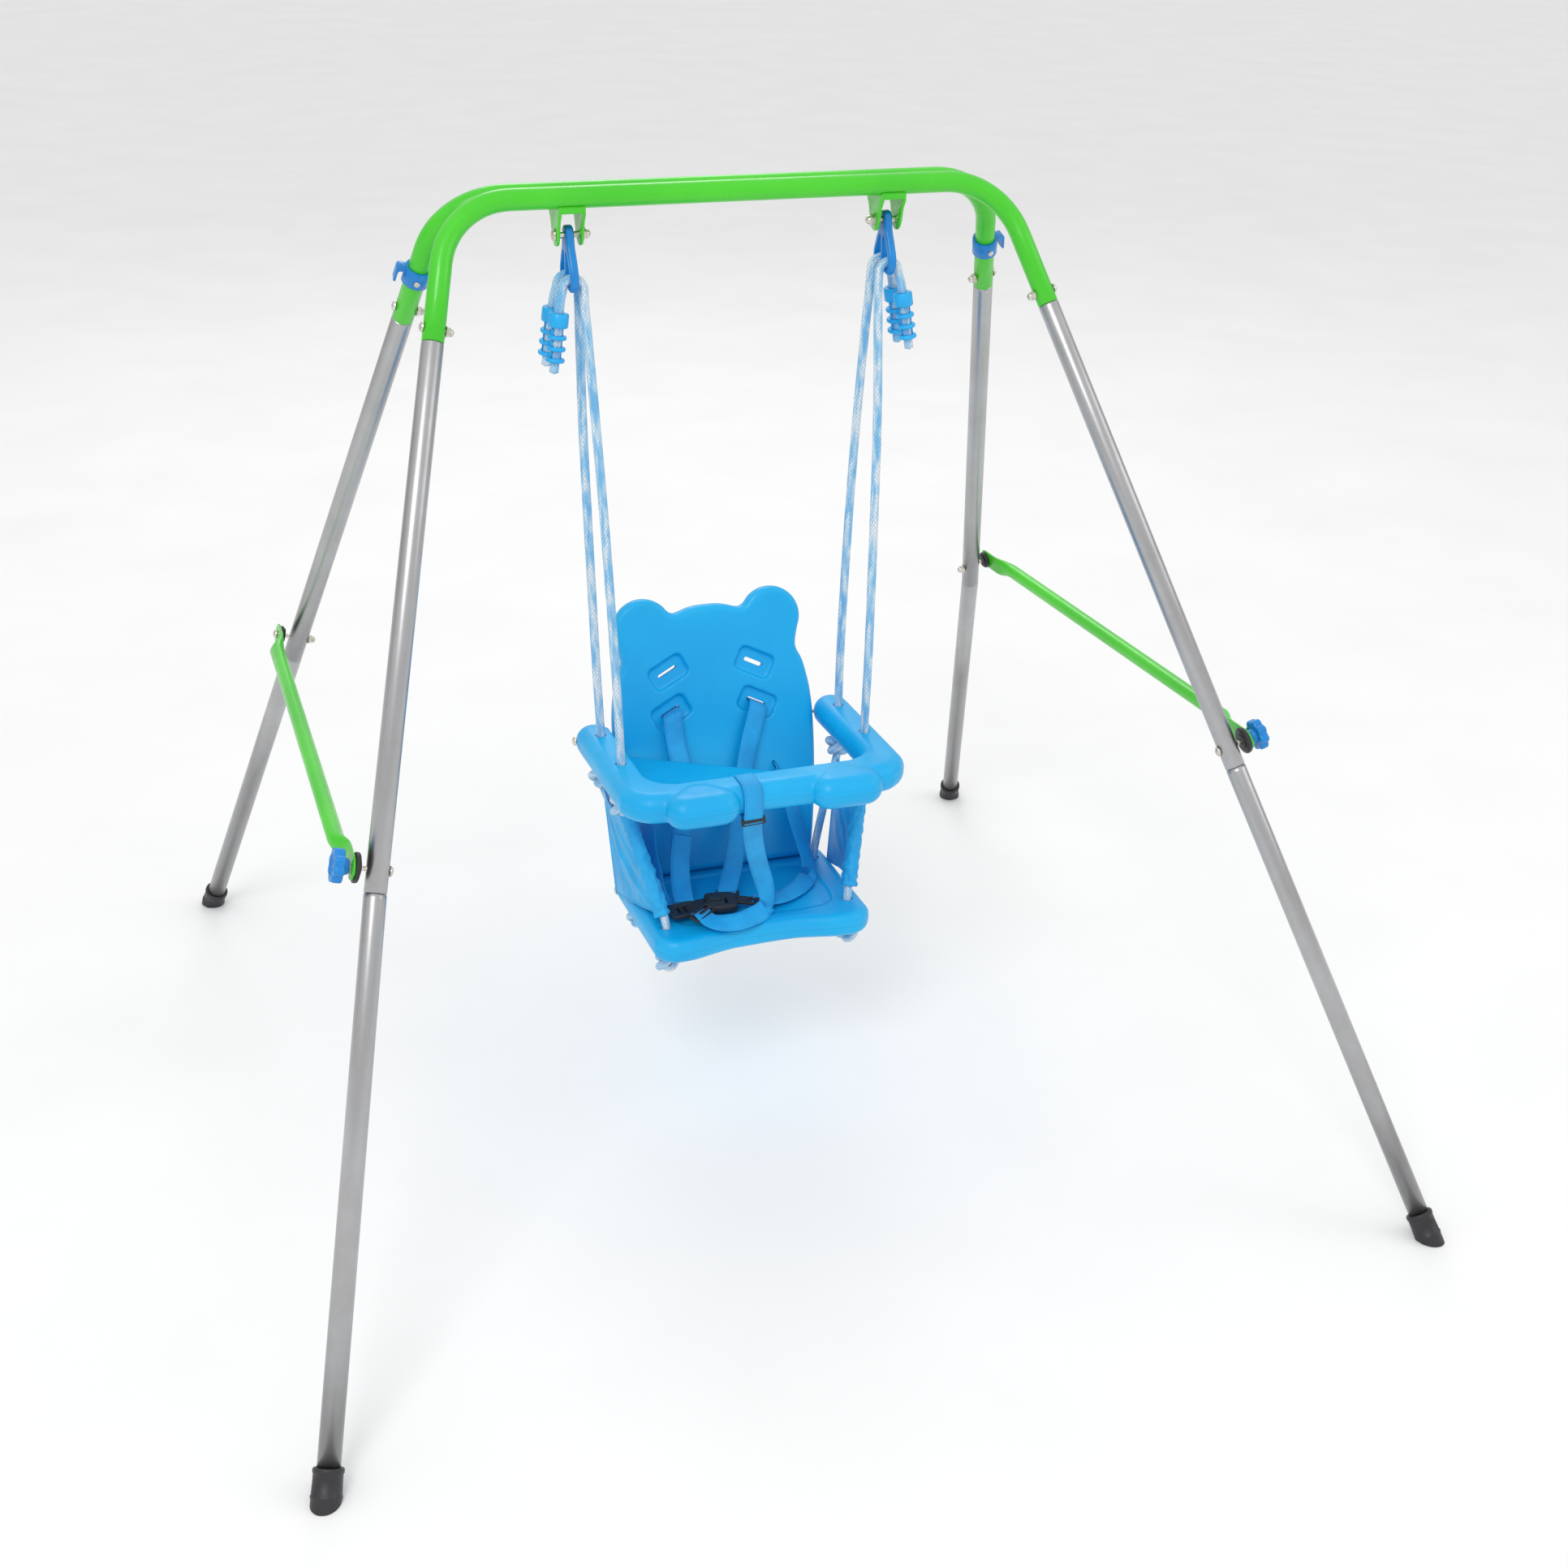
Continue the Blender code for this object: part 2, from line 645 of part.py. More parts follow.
def build_hanger(side_name, side):
    """Clevis under the two bars: ears, a base plate and a thin collar around the front bar."""
    name = f"hanger_bracket_{side_name}"
    centre_x = side * HANGER_X
    plate_low = BAR_Z - TUBE_R - 0.0045
    plate = box(name, (centre_x - EAR_X, -0.0245, plate_low),
                (centre_x + EAR_X, 0.0245, BAR_Z - TUBE_R + 0.004), "green_paint")
    ear_top = BAR_Z - TUBE_R + 0.0030
    ear = [(-0.025, ear_top), (-0.025, plate_low - 0.004), (-0.0125, PIN_Z - 0.006)]
    ear += arc((0.0, PIN_Z), 0.0125, 205.0, 335.0, 6)
    ear += [(0.0125, PIN_Z - 0.006), (0.025, plate_low - 0.004), (0.025, ear_top)]
    pin = Vector((centre_x, 0.0, PIN_Z))
    reach = Vector((0.03, 0.0, 0.0))
    for mark, offset in (("a", -EAR_X), ("b", EAR_X)):
        low = centre_x + offset - 0.5 * EAR_T
        sheet = prism(f"{name}_ear_{mark}", "green_paint", ear, low, low + EAR_T, YZ_PLANE)
        cut(sheet, drill(f"{name}_hole_{mark}", pin - reach, pin + reach, PIN_R + GAP))
        join(plate, sheet)
    cut(plate, bar_cylinder(name + "_rear_bar", centre_x, 0.05, 1.0, TUBE_R + 0.0005))
    join(plate, bar_cylinder(name + "_collar", centre_x, EAR_X - 0.001, -1.0, TUBE_R + 0.0018))
    return cut(plate, bar_cylinder(name + "_front_bar", centre_x, 0.05, -1.0, TUBE_R + 0.0005))


def build_hanger_pin(side_name, side):
    centre = Vector((side * HANGER_X, 0.0, PIN_Z))
    reach = EAR_X + 0.5 * EAR_T + GAP
    return bolt(f"hanger_pin_{side_name}", centre, Vector((side, 0, 0)), reach, reach, PIN_R, 0.0072, 0.0068)


def build_hook(side_name, side):
    """Moulded rope hook: one eye on the pin, two rope eyes side by side below it."""
    name = f"rope_hook_{side_name}"
    outline = arc((EYE_Y, PIN_Z - EYE_DOWN), 0.0150, -90.0, 15.0, 6)
    outline += arc((0.0, PIN_Z), 0.0115, 15.0, 90.0, 4)
    outline = mirrored(outline)
    low = side * HANGER_X - 0.5 * HOOK_T
    place = YZ_PLANE @ Matrix.Translation((0.0, 0.0, low))
    hook = slab(name, "blue_plastic", outline, HOOK_T, 0.0020, place, steps=1)
    reach = Vector((0.02, 0.0, 0.0))
    pin = Vector((side * HANGER_X, 0.0, PIN_Z))
    cut(hook, drill(name + "_pin_eye", pin - reach, pin + reach, PIN_R + 0.0004, 16))
    for mark, depth in (("front", -1.0), ("rear", 1.0)):
        eye = Vector((side * HANGER_X, depth * EYE_Y, PIN_Z - EYE_DOWN))
        cut(hook, drill(f"{name}_{mark}_eye", eye - reach, eye + reach, EYE_R, 16))
    return hook


def build_storage_hook(side_name, side):
    """Collar on the rear green tube with a small turned-down hook on its outer side."""
    name = f"storage_hook_{side_name}"
    centre = on_upper_leg(REAR, side, 1.086)
    up = leg_up(REAR, side)
    out = outward(REAR, side)
    half = 0.0110
    ring_profile = [(TUBE_R + GAP, -half), (TUBE_R + 0.0032, -half), (TUBE_R + 0.0032, half), (TUBE_R + GAP, half)]
    place = axis_frame(centre, up, out)
    collar = lathe(name, "blue_plastic", ring_profile, place, 20, closed=True)
    hook_frame = Matrix((out, up, out.cross(up))).transposed().to_4x4()
    hook_frame.translation = centre
    start = TUBE_R + 0.0020
    tip = STANDOFF - 0.0010
    outline = [(start, 0.002), (start, 0.009), (tip - 0.002, 0.009), (tip, 0.007), (tip, -0.012)]
    outline += [(tip - 0.0028, -0.012), (tip - 0.0028, 0.0045), (tip - 0.0050, 0.0045)]
    return join(collar, prism(name + "_arm", "blue_plastic", list(reversed(outline)), -0.006, 0.006, hook_frame))


# ------------------------------------------------------------------ ropes
def rope_route(side, row):
    """Points from the knot under the base up to the hook, over its eye and down the tail."""
    depth = -1.0 if row == "front" else 1.0
    base_x, base_y = BASE_ROPES[row]
    bar_x, bar_y = BAR_ROPES[row]
    rim_z = PIN_Z - EYE_DOWN - EYE_R - 0.00325
    hook_x = HANGER_X
    eye_y = depth * EYE_Y
    base_low = BASE_TOP - BASE_T
    points = [
        (base_x, base_y, base_low - 0.026), (base_x, base_y, base_low - 0.008),
        (base_x, base_y, base_low + 0.010), (base_x, base_y, BASE_TOP + 0.008),
        (0.75 * base_x + 0.25 * bar_x, 0.75 * base_y + 0.25 * bar_y, 0.325),
        (0.35 * base_x + 0.65 * bar_x, 0.35 * base_y + 0.65 * bar_y, 0.378),
        (bar_x, bar_y, BAR_BOTTOM - 0.030), (bar_x, bar_y, BAR_BOTTOM - 0.014),
        (bar_x, bar_y, BAR_BOTTOM + 0.010), (bar_x, bar_y, BAR_BOTTOM + BAR_T + 0.006),
        (0.168, 1.02 * bar_y, 0.600), (0.173, 0.90 * bar_y, 0.760), (0.178, 0.70 * bar_y, 0.900),
        (0.181, 0.45 * bar_y, 1.000), (hook_x - ROPE_LOOP_R - 0.001, 1.1 * eye_y, 1.050),
    ]
    for angle in range(0, 181, 30):
        turn = math.radians(angle)
        points.append((hook_x - ROPE_LOOP_R * math.cos(turn), eye_y, rim_z + ROPE_LOOP_R * math.sin(turn)))
    tail_top = Vector((hook_x + ROPE_LOOP_R + 0.004, 1.15 * eye_y, 1.060))
    tail_end = Vector((hook_x + ROPE_LOOP_R + 0.015, 1.45 * eye_y, 0.984))
    points += [tail_top.lerp(tail_end, share) for share in (0.0, 0.33, 0.72, 1.0)]
    return [Vector((side * x, y, z)) for x, y, z in points]


def smooth_curve(points, steps):
    """Catmull-Rom samples through the points."""
    result = []
    for index in range(len(points) - 1):
        before = points[max(index - 1, 0)]
        start = points[index]
        end = points[index + 1]
        after = points[min(index + 2, len(points) - 1)]
        for step in range(steps):
            t = step / steps
            result.append(0.5 * (2.0 * start + (end - before) * t
                                 + (2.0 * before - 5.0 * start + 4.0 * end - after) * t ** 2
                                 + (3.0 * start - before - 3.0 * end + after) * t ** 3))
    result.append(points[-1])
    return result


def rope_points(side, row):
    """Route samples about three diameters apart on the long runs."""
    samples = smooth_curve(rope_route(side, row), 8)
    kept = [samples[0]]
    for point in samples[1:-1]:
        near_loop = point.z > 1.03 and abs(abs(point.x) - HANGER_X) < 0.03
        spacing = 0.0075 if near_loop else 0.0320
        knot = point.z < BASE_TOP - BASE_T or abs(point.z - BAR_BOTTOM + 0.018) < 0.025
        if knot:
            spacing = 0.0055
        if (point - kept[-1]).length >= spacing:
            kept.append(point)
    kept.append(samples[-1])
    return kept


def knot_size(point):
    """Radius factor of the rope: fat in the knots under the base and under the guard bar."""
    for centre, reach in ((BASE_TOP - BASE_T - 0.0150, 0.0085), (BAR_BOTTOM - 0.0165, 0.0095)):
        share = abs(point.z - centre) / reach
        if share < 1.0:
            return 1.0 + 0.85 * math.sqrt(1.0 - share * share)
    return 1.0


def build_rope(side_name, side, row):
    curve = bpy.data.curves.new(f"rope_{side_name}_{row}", "CURVE")
    curve.dimensions = "3D"
    curve.bevel_depth = ROPE_R
    curve.bevel_resolution = 2
    curve.use_fill_caps = True
    points = rope_points(side, row)
    spline = curve.splines.new("POLY")
    spline.points.add(len(points) - 1)
    for slot, point in zip(spline.points, points):
        slot.co = (*point, 1.0)
        slot.radius = knot_size(point)
    rope = bpy.data.objects.new(curve.name, curve)
    bpy.context.scene.collection.objects.link(rope)
    curve.materials.append(material("rope"))
    return rope


def build_adjuster(side_name, side, row):
    """Moulded rope adjuster: a collar and three discs around the rope's tail."""
    route = rope_route(side, row)
    low = route[-1]
    high = route[-4]
    bore = ROPE_R + 0.0017
    core = 0.0085
    disc = 0.0112
    profile = [(bore, 0.000)]
    for height in (0.0, 0.013, 0.026):
        profile += [(disc, height), (disc, height + 0.0035), (core, height + 0.0042), (core, height + 0.0125)]
    profile += [(0.0118, 0.0395), (0.0118, 0.0560), (bore, 0.0560)]
    start = low.lerp(high, 0.16)
    return lathe(f"rope_adjuster_{side_name}_{row}", "adjuster_plastic", profile,
                 axis_frame(start, high - low), 10, closed=True)


# ------------------------------------------------------------------ seat
def bar_outline():
    """Guard bar seen from above: two arms, rounded corners and two blunt paws in front."""
    half = [(0.0, -0.168), (0.050, -0.168)]
    half += arc((0.078, -0.166), 0.026, 215.0, 270.0, 3)
    half += arc((0.112, -0.166), 0.026, 270.0, 325.0, 3)
    half += [(0.150, -0.152)]
    half += arc((0.148, -0.108), 0.042, 300.0, 360.0, 3)
    half += [(0.190, -0.040), (0.190, 0.020)]
    half += arc((0.176, 0.086), 0.014, 0.0, 90.0, 3)
    half += arc((0.156, 0.086), 0.014, 90.0, 180.0, 3)
    half += [(0.142, 0.020), (0.142, -0.050)]
    half += arc((0.108, -0.086), 0.034, 0.0, -90.0, 4)
    half += [(0.050, -0.122), (0.0, -0.122)]
    return half + [(-u, v) for u, v in reversed(half[1:-1])]


def build_guard_bar():
    place = Matrix.Translation((0.0, 0.0, BAR_BOTTOM))
    bar = blow_moulding("guard_bar", "seat_plastic", bar_outline(), BAR_T, 0.0120, BAR_WALL, place)
    low = BAR_BOTTOM - 0.01
    high = BAR_BOTTOM + BAR_T + 0.01
    for side_name, side in SIDES:
        for row, (hole_x, hole_y) in BAR_ROPES.items():
            start = (side * hole_x, hole_y, low)
            end = (side * hole_x, hole_y, high)
            cut(bar, drill(f"guard_bar_{row}_hole_{side_name}", start, end, ROPE_HOLE_R))
        bolt_y, bolt_z = bar_bolt_place()
        start = (side * 0.13, bolt_y, bolt_z)
        cut(bar, drill(f"guard_bar_bolt_hole_{side_name}", start, (side * 0.20, bolt_y, bolt_z), HOLE_R))
    return bar


def bar_bolt_place():
    """Depth and height of the bolts that join the guard bar's arms to the back."""
    height = BAR_BOTTOM + 0.5 * BAR_T
    along = (height - BACK_FOOT_Z) / math.cos(BACK_LEAN)
    middle = 0.5 * BACK_T
    depth = BACK_FOOT_Y + along * math.sin(BACK_LEAN) + middle * math.cos(BACK_LEAN)
    return depth, height


def back_outline():
    """Seat back: rounded body with a domed top between two round ears, foot at v = 0."""
    half = [(0.0, 0.0), (0.118, 0.0), (0.126, 0.008), (0.133, 0.060), (0.138, 0.120), (0.140, 0.180)]
    half += [(0.138, 0.230), (0.130, 0.270), (0.118, 0.296)]
    half += arc((0.088, 0.334), 0.041, -25.0, 152.0, 11)
    half += [(0.044, 0.351), (0.022, 0.357), (0.0, 0.359)]
    return mirrored(half)


def back_place():
    """Local X across, local Y up the back, local Z towards the rear."""
    lean = Matrix.Rotation(-BACK_LEAN, 4, "X")
    upright = Matrix(((1, 0, 0, 0), (0, 0, 1, 0), (0, 1, 0, 0), (0, 0, 0, 1)))
    return Matrix.Translation((0.0, BACK_FOOT_Y, BACK_FOOT_Z)) @ lean @ upright


def slot_box(name, place, centre, size, tilt_deg, low, high):
    """Cutter of a tilted rectangle through or into the back."""
    turn = Matrix.Translation((centre[0], centre[1], 0.0)) @ Matrix.Rotation(math.radians(tilt_deg), 4, "Z")
    half_u = 0.5 * size[0]
    half_v = 0.5 * size[1]
    return box(name, (-half_u, -half_v, low), (half_u, half_v, high), "seat_plastic", place @ turn)


def build_back():
    place = back_place()
    back = blow_moulding("seat_back", "seat_plastic", back_outline(), BACK_T, 0.0080, 0.0028, place)
    for side_name, side in SIDES:
        for mark, centre_v in (("upper", 0.276), ("lower", 0.222)):
            centre = (side * 0.060, centre_v)
            tilt = -27.0 * side
            slot = slot_box(f"seat_back_{mark}_slot_{side_name}", place, centre, (0.030, 0.0046), tilt, -0.01, 0.04)
            cut(back, slot)
        bolt_y, bolt_z = bar_bolt_place()
        hole = drill(f"seat_back_bolt_hole_{side_name}", (side * 0.112, bolt_y, bolt_z),
                     (side * 0.15, bolt_y, bolt_z), HOLE_R)
        cut(back, hole)
    return back


def base_outline():
    """Seat base from above: rounded corners and a shallow wave along the front edge."""
    half = [(0.0, -0.132), (0.040, -0.133), (0.070, -0.139), (0.100, -0.146)]
    half += arc((0.118, -0.117), 0.030, -90.0, 0.0, 5)
    half += [(0.148, 0.000)]
    half += arc((0.126, 0.052), 0.022, 0.0, 90.0, 4)
    half += [(0.0, 0.074)]
    return half + [(-u, v) for u, v in reversed(half[1:-1])]


def build_base():
    low = BASE_TOP - BASE_T
    place = Matrix.Translation((0.0, 0.0, low))
    base = blow_moulding("seat_base", "seat_plastic", base_outline(), BASE_T, 0.0120, 0.0028, place)
    for side_name, side in SIDES:
        for row, (hole_x, hole_y) in BASE_ROPES.items():
            start = (side * hole_x, hole_y, low - 0.01)
            end = (side * hole_x, hole_y, BASE_TOP + 0.01)
            cut(base, drill(f"seat_base_{row}_hole_{side_name}", start, end, ROPE_HOLE_R))
        height = low + 0.5 * BASE_T
        cut(base, drill(f"seat_base_bolt_hole_{side_name}", (side * 0.125, 0.052, height),
                        (side * 0.16, 0.052, height), HOLE_R))
    return base


def build_seat_bolts():
    made = []
    bolt_y, bolt_z = bar_bolt_place()
    for side_name, side in SIDES:
        out = Vector((side, 0.0, 0.0))
        centre = Vector((0.0, bolt_y, bolt_z))
        made.append(bolt(f"guard_bar_bolt_{side_name}", centre, out, 0.1905, -0.118, nut_r=None))
        centre = Vector((0.0, 0.052, BASE_TOP - 0.5 * BASE_T))
        made.append(bolt(f"seat_base_bolt_{side_name}", centre, out, 0.1485, -0.130, nut_r=None))
    return made


def build_side_panel(side_name, side):
    """Cloth side between the front and the rear rope, below the guard bar."""
    clear = 0.0120
    top_z = BAR_BOTTOM - 0.030
    low_z = BASE_TOP + 0.010
    corners = []
    for z, share in ((low_z, 0.03), (top_z, 0.94)):
        for row, move in (("front", clear), ("rear", -clear)):
            base_x, base_y = BASE_ROPES[row]
            bar_x, bar_y = BAR_ROPES[row]
            x = side * (base_x + (bar_x - base_x) * share)
            corners.append(Vector((x, base_y + (bar_y - base_y) * share + move, z)))
    order = (corners[0], corners[1], corners[3], corners[2])
    half = Vector((0.0018, 0.0, 0.0))
    mesh_builder = bmesh.new()
    inner = ring(mesh_builder, [corner - half for corner in order])
    outer = ring(mesh_builder, [corner + half for corner in order])
    bridge(mesh_builder, inner, outer)
    mesh_builder.faces.new(inner)
    mesh_builder.faces.new(outer)
    return add_object(f"side_panel_{side_name}", mesh_builder, "panel_cloth")


# ------------------------------------------------------------------ harness
def shoulder_lines():
    """Centre lines of the shoulder straps, from their slots down to the buckle."""
    left = [(-0.0600, 0.0765, 0.4950), (-0.0605, 0.0680, 0.4930), (-0.0610, 0.0590, 0.4840),
            (-0.0605, 0.0520, 0.4660), (-0.0580, 0.0430, 0.4300), (-0.0590, 0.0310, 0.3850),
            (-0.0680, 0.0150, 0.3450), (-0.0760, -0.0060, 0.3130), (-0.0820, -0.0270, 0.2960),
            (-0.0860, -0.0445, 0.2885)]
    right = [(0.0600, 0.0765, 0.4950), (0.0590, 0.0680, 0.4930), (0.0550, 0.0590, 0.4840),
             (0.0460, 0.0520, 0.4660), (0.0350, 0.0430, 0.4300), (0.0240, 0.0310, 0.3850),
             (0.0120, 0.0150, 0.3450), (0.0000, -0.0060, 0.3130), (-0.0120, -0.0290, 0.2960),
             (-0.0210, -0.0540, 0.2880)]
    return {"left": left, "right": right}


def crotch_line():
    """Centre line of the crotch strap with its width direction at each point.

    It wraps the front of the guard bar, falls to the seat, turns flat and runs to the buckle.
    """
    bar_top = BAR_BOTTOM + BAR_T
    clear = 0.0016
    across = (1.0, 0.0, 0.0)
    wrap = [(-0.030, -0.1190, BAR_BOTTOM + 0.020), (-0.030, -0.1195, bar_top - 0.008),
            (-0.030, -0.1270, bar_top + clear), (-0.030, -0.1640, bar_top + clear),
            (-0.030, -0.1705, bar_top - 0.008), (-0.030, -0.1705, BAR_BOTTOM + 0.008),
            (-0.030, -0.1640, BAR_BOTTOM - clear), (-0.030, -0.1450, BAR_BOTTOM - 0.006)]
    fall = [(-0.024, -0.1400, 0.400), (-0.010, -0.1240, 0.362), (0.003, -0.1080, 0.326), (0.010, -0.1010, 0.303)]
    turn = [((0.009, -0.1020, 0.289), (0.86, 0.50, 0.10)), ((-0.002, -0.1080, 0.2815), (0.50, 0.86, 0.0)),
            ((-0.018, -0.1110, 0.2785), (0.05, 1.0, 0.0)), ((-0.060, -0.1110, 0.2785), (0.0, 1.0, 0.0))]
    return [(point, across) for point in wrap + fall] + turn


def build_harness():
    made = []
    for side_name, line in shoulder_lines().items():
        made.append(ribbon(f"shoulder_strap_{side_name}", "webbing", [(point, (1, 0, 0)) for point in line]))
    belt = [(-0.112, -0.028, 0.292), (-0.095, -0.033, 0.281), (-0.060, -0.045, 0.2785), (-0.010, -0.050, 0.2780),
            (0.050, -0.048, 0.2785), (0.085, -0.040, 0.281), (0.110, -0.034, 0.292)]
    made.append(ribbon("lap_belt", "webbing", [(point, (0, 1, 0)) for point in belt]))
    made.append(ribbon("crotch_strap", "webbing", crotch_line()))
    half_x, half_y = 0.5 * BUCKLE_SIZE[0], 0.5 * BUCKLE_SIZE[1]
    outline = [(-half_x, -half_y), (half_x, -half_y), (half_x, half_y), (-half_x, half_y)]
    place = Matrix.Translation(BUCKLE_AT) @ Matrix.Rotation(BUCKLE_YAW, 4, "Z")
    made.append(slab("harness_buckle", "black_plastic", outline, BUCKLE_SIZE[2], 0.0030, place, steps=2))
    return made


# ------------------------------------------------------------------ assembly
def build_rear_frame():
    build_u_tube("rear_top_tube", REAR)
    build_legs("rear", REAR)
    build_frame_hardware("rear", REAR)
    for side_name, side in SIDES:
        build_hanger(side_name, side)
        build_hanger_pin(side_name, side)
        build_storage_hook(side_name, side)


def build_front_frame():
    fold = axis_empty("fold_axis", (0.0, -BAR_Y, BAR_Z))
    pieces = [build_u_tube("front_top_tube", FRONT)]
    pieces += build_legs("front", FRONT)
    pieces += build_frame_hardware("front", FRONT)
    for piece in pieces:
        put_on_axis(piece, fold)


def build_braces():
    for side_name, side in SIDES:
        pivot = axis_empty(f"brace_pivot_{side_name}", brace_bolt_place(REAR, side))
        put_on_axis(build_brace(side_name, side), pivot)
        build_knob(side_name, side)


def build_swing():
    swing = axis_empty("swing_axis", (0.0, 0.0, PIN_Z))
    pieces = [build_base(), build_back(), build_guard_bar()]
    pieces += build_seat_bolts()
    pieces += build_harness()
    for side_name, side in SIDES:
        pieces.append(build_hook(side_name, side))
        pieces.append(build_side_panel(side_name, side))
        for row in ("front", "rear"):
            pieces.append(build_rope(side_name, side, row))
            pieces.append(build_adjuster(side_name, side, row))
    for piece in pieces:
        put_on_axis(piece, swing)


def main():
    clear_scene()
    build_rear_frame()
    build_front_frame()
    build_braces()
    build_swing()


main()
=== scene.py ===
"""Looks for the folding toddler swing: finer shapes, ropes, harness, cloth and procedural materials.

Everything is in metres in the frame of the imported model: X along the top bars, -Y to the front,
+Z up. Routes and driving sizes repeat those of part.py, because this script cannot read it.
"""
import math

import bmesh
import bpy
from mathutils import Matrix, Vector, noise


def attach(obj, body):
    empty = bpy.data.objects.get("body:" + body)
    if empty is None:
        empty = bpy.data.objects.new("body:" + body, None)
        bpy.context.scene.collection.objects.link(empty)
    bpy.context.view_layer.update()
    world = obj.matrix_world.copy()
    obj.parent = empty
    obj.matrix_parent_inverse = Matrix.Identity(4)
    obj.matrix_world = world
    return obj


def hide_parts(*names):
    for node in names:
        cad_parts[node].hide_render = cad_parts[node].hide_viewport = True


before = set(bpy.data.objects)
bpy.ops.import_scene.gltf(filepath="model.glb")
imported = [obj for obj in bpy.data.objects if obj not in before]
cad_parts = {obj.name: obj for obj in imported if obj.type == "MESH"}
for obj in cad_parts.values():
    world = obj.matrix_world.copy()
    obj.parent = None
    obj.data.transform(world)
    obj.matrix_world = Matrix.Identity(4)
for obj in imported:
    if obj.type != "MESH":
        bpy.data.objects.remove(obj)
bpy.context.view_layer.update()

# ------------------------------------------------------------------ driving dimensions
SIDES = (("left", -1.0), ("right", 1.0))
BAR_Z = 1.18
BAR_Y = 0.015
CORNER_X = 0.335
BEND_R = 0.09
TUBE_R = 0.0125
FRONT = {"y": -1.0, "joint_z": 1.044, "mid": (0.529, 0.377, 0.527), "foot": (0.678, 0.701)}
REAR = {"y": 1.0, "joint_z": 1.03, "mid": (0.506, 0.383, 0.518), "foot": (0.631, 0.701)}
LEG_BOLT_ABOVE = 0.013
BRACE_BOLT_Z = 0.549
FOOT_R = 0.0162
FOOT_LENGTH = 0.036
FOOT_FLOOR = 0.022
STANDOFF = 0.0263
FLAT_T = 0.003
FLAT_HALF = 0.014
BRACE_R = 0.0095
KNOB_GAP = 0.0024
KNOB_R = 0.02
KNOB_LENGTH = 0.018
SPACER_T = 0.006
HANGER_X = 0.196
PIN_Z = 1.136
EAR_T = 0.003
EAR_X = 0.014
HOOK_T = 0.01
EYE_Y = 0.013
EYE_DOWN = 0.048
EYE_R = 0.0085
ROPE_R = 0.0055
ROPE_LOOP_R = 0.0125
BAR_BOTTOM = 0.45
BAR_T = 0.04
BAR_ROPES = {"front": (0.165, -0.048), "rear": (0.165, 0.048)}
BASE_TOP = 0.275
BASE_T = 0.034
BASE_LOW = BASE_TOP - BASE_T
BASE_ROPES = {"front": (0.126, -0.1), "rear": (0.126, 0.03)}
BACK_T = 0.022
BACK_FOOT_Y = 0.034
BACK_FOOT_Z = 0.278
BACK_LEAN = math.radians(11.5)
WEB_T = 0.0014
STRAP_W = 0.025
CLOTH_T = 0.0007
BOLT_R = 0.003
BOLT_HEAD_R = 0.0058
BOLT_NUT_R = 0.0055
BOLT_HOLE_R = 0.0034
ROPE_HOLE_R = 0.007
DRILL_PAST = 0.01
BRAID_PITCH = 0.0125
CLOTH_THREAD = 0.0009
WEB_RIB = 0.0016
WEB_ROWS = 11.0
SKIN_VOXEL = 0.0018
BASE_VOXEL = 0.0017
TUBE_SIDES = 36
STORAGE_HOOK_Z = 1.086
PANEL_COLUMNS = 44
PANEL_ROWS = 40
PANEL_LOW = ((0.1278, -0.093, 0.292), (0.139, -0.064, 0.286), (0.1482, -0.03, 0.2795),
             (0.1508, 0.004, 0.271), (0.1511, 0.044, 0.259))
PANEL_HIGH = ((0.163, -0.0435, 0.418), (0.164, -0.02, 0.409), (0.1645, 0.005, 0.405),
              (0.1645, 0.028, 0.408), (0.164, 0.0455, 0.417))

YZ_PLANE = Matrix(((0, 0, 1, 0), (1, 0, 0, 0), (0, 1, 0, 0), (0, 0, 0, 1)))


# ------------------------------------------------------------------ shader nodes
def node(tree, kind, inputs=None, **settings):
    made = tree.nodes.new("ShaderNode" + kind)
    for key, value in settings.items():
        setattr(made, key, value)
    for key, value in (inputs or {}).items():
        if isinstance(value, bpy.types.NodeSocket):
            tree.links.new(value, made.inputs[key])
        else:
            made.inputs[key].default_value = value
    return made


def start_material(name, color, **values):
    made = bpy.data.materials.new(name)
    made.use_nodes = True
    shader = made.node_tree.nodes["Principled BSDF"]
    shader.inputs["Base Color"].default_value = (*color, 1.0)
    for key, value in values.items():
        shader.inputs[key.replace("_", " ")].default_value = value
    made.diffuse_color = (*color, 1.0)
    return made, made.node_tree, shader


def object_coords(tree):
    return node(tree, "TexCoord").outputs["Object"]


def grain(tree, vector, scale, detail=2.0, roughness=0.5):
    inputs = {"Vector": vector, "Scale": scale, "Detail": detail, "Roughness": roughness}
    return node(tree, "TexNoise", inputs).outputs["Fac"]


def ramp(tree, factor, *stops):
    """Colour ramp from (position, colour) stops."""
    made = node(tree, "ValToRGB", {"Fac": factor})
    elements = made.color_ramp.elements
    while len(elements) < len(stops):
        elements.new(0.5)
    for element, (position, color) in zip(elements, stops):
        element.position = position
        element.color = (*color, 1.0)
    return made.outputs["Color"]


def span(tree, factor, low, high, to_low, to_high):
    """Factor mapped from low..high to to_low..to_high."""
    made = node(tree, "MapRange", {"Value": factor, "From Min": low, "From Max": high,
                                   "To Min": to_low, "To Max": to_high})
    return made.outputs["Result"]


def maths(tree, operation, first, second=0.0):
    return node(tree, "Math", {0: first, 1: second}, operation=operation).outputs[0]


def waves(tree, value, period):
    """Sine of a value that repeats after a period."""
    return maths(tree, "SINE", maths(tree, "MULTIPLY", value, 2.0 * math.pi / period))


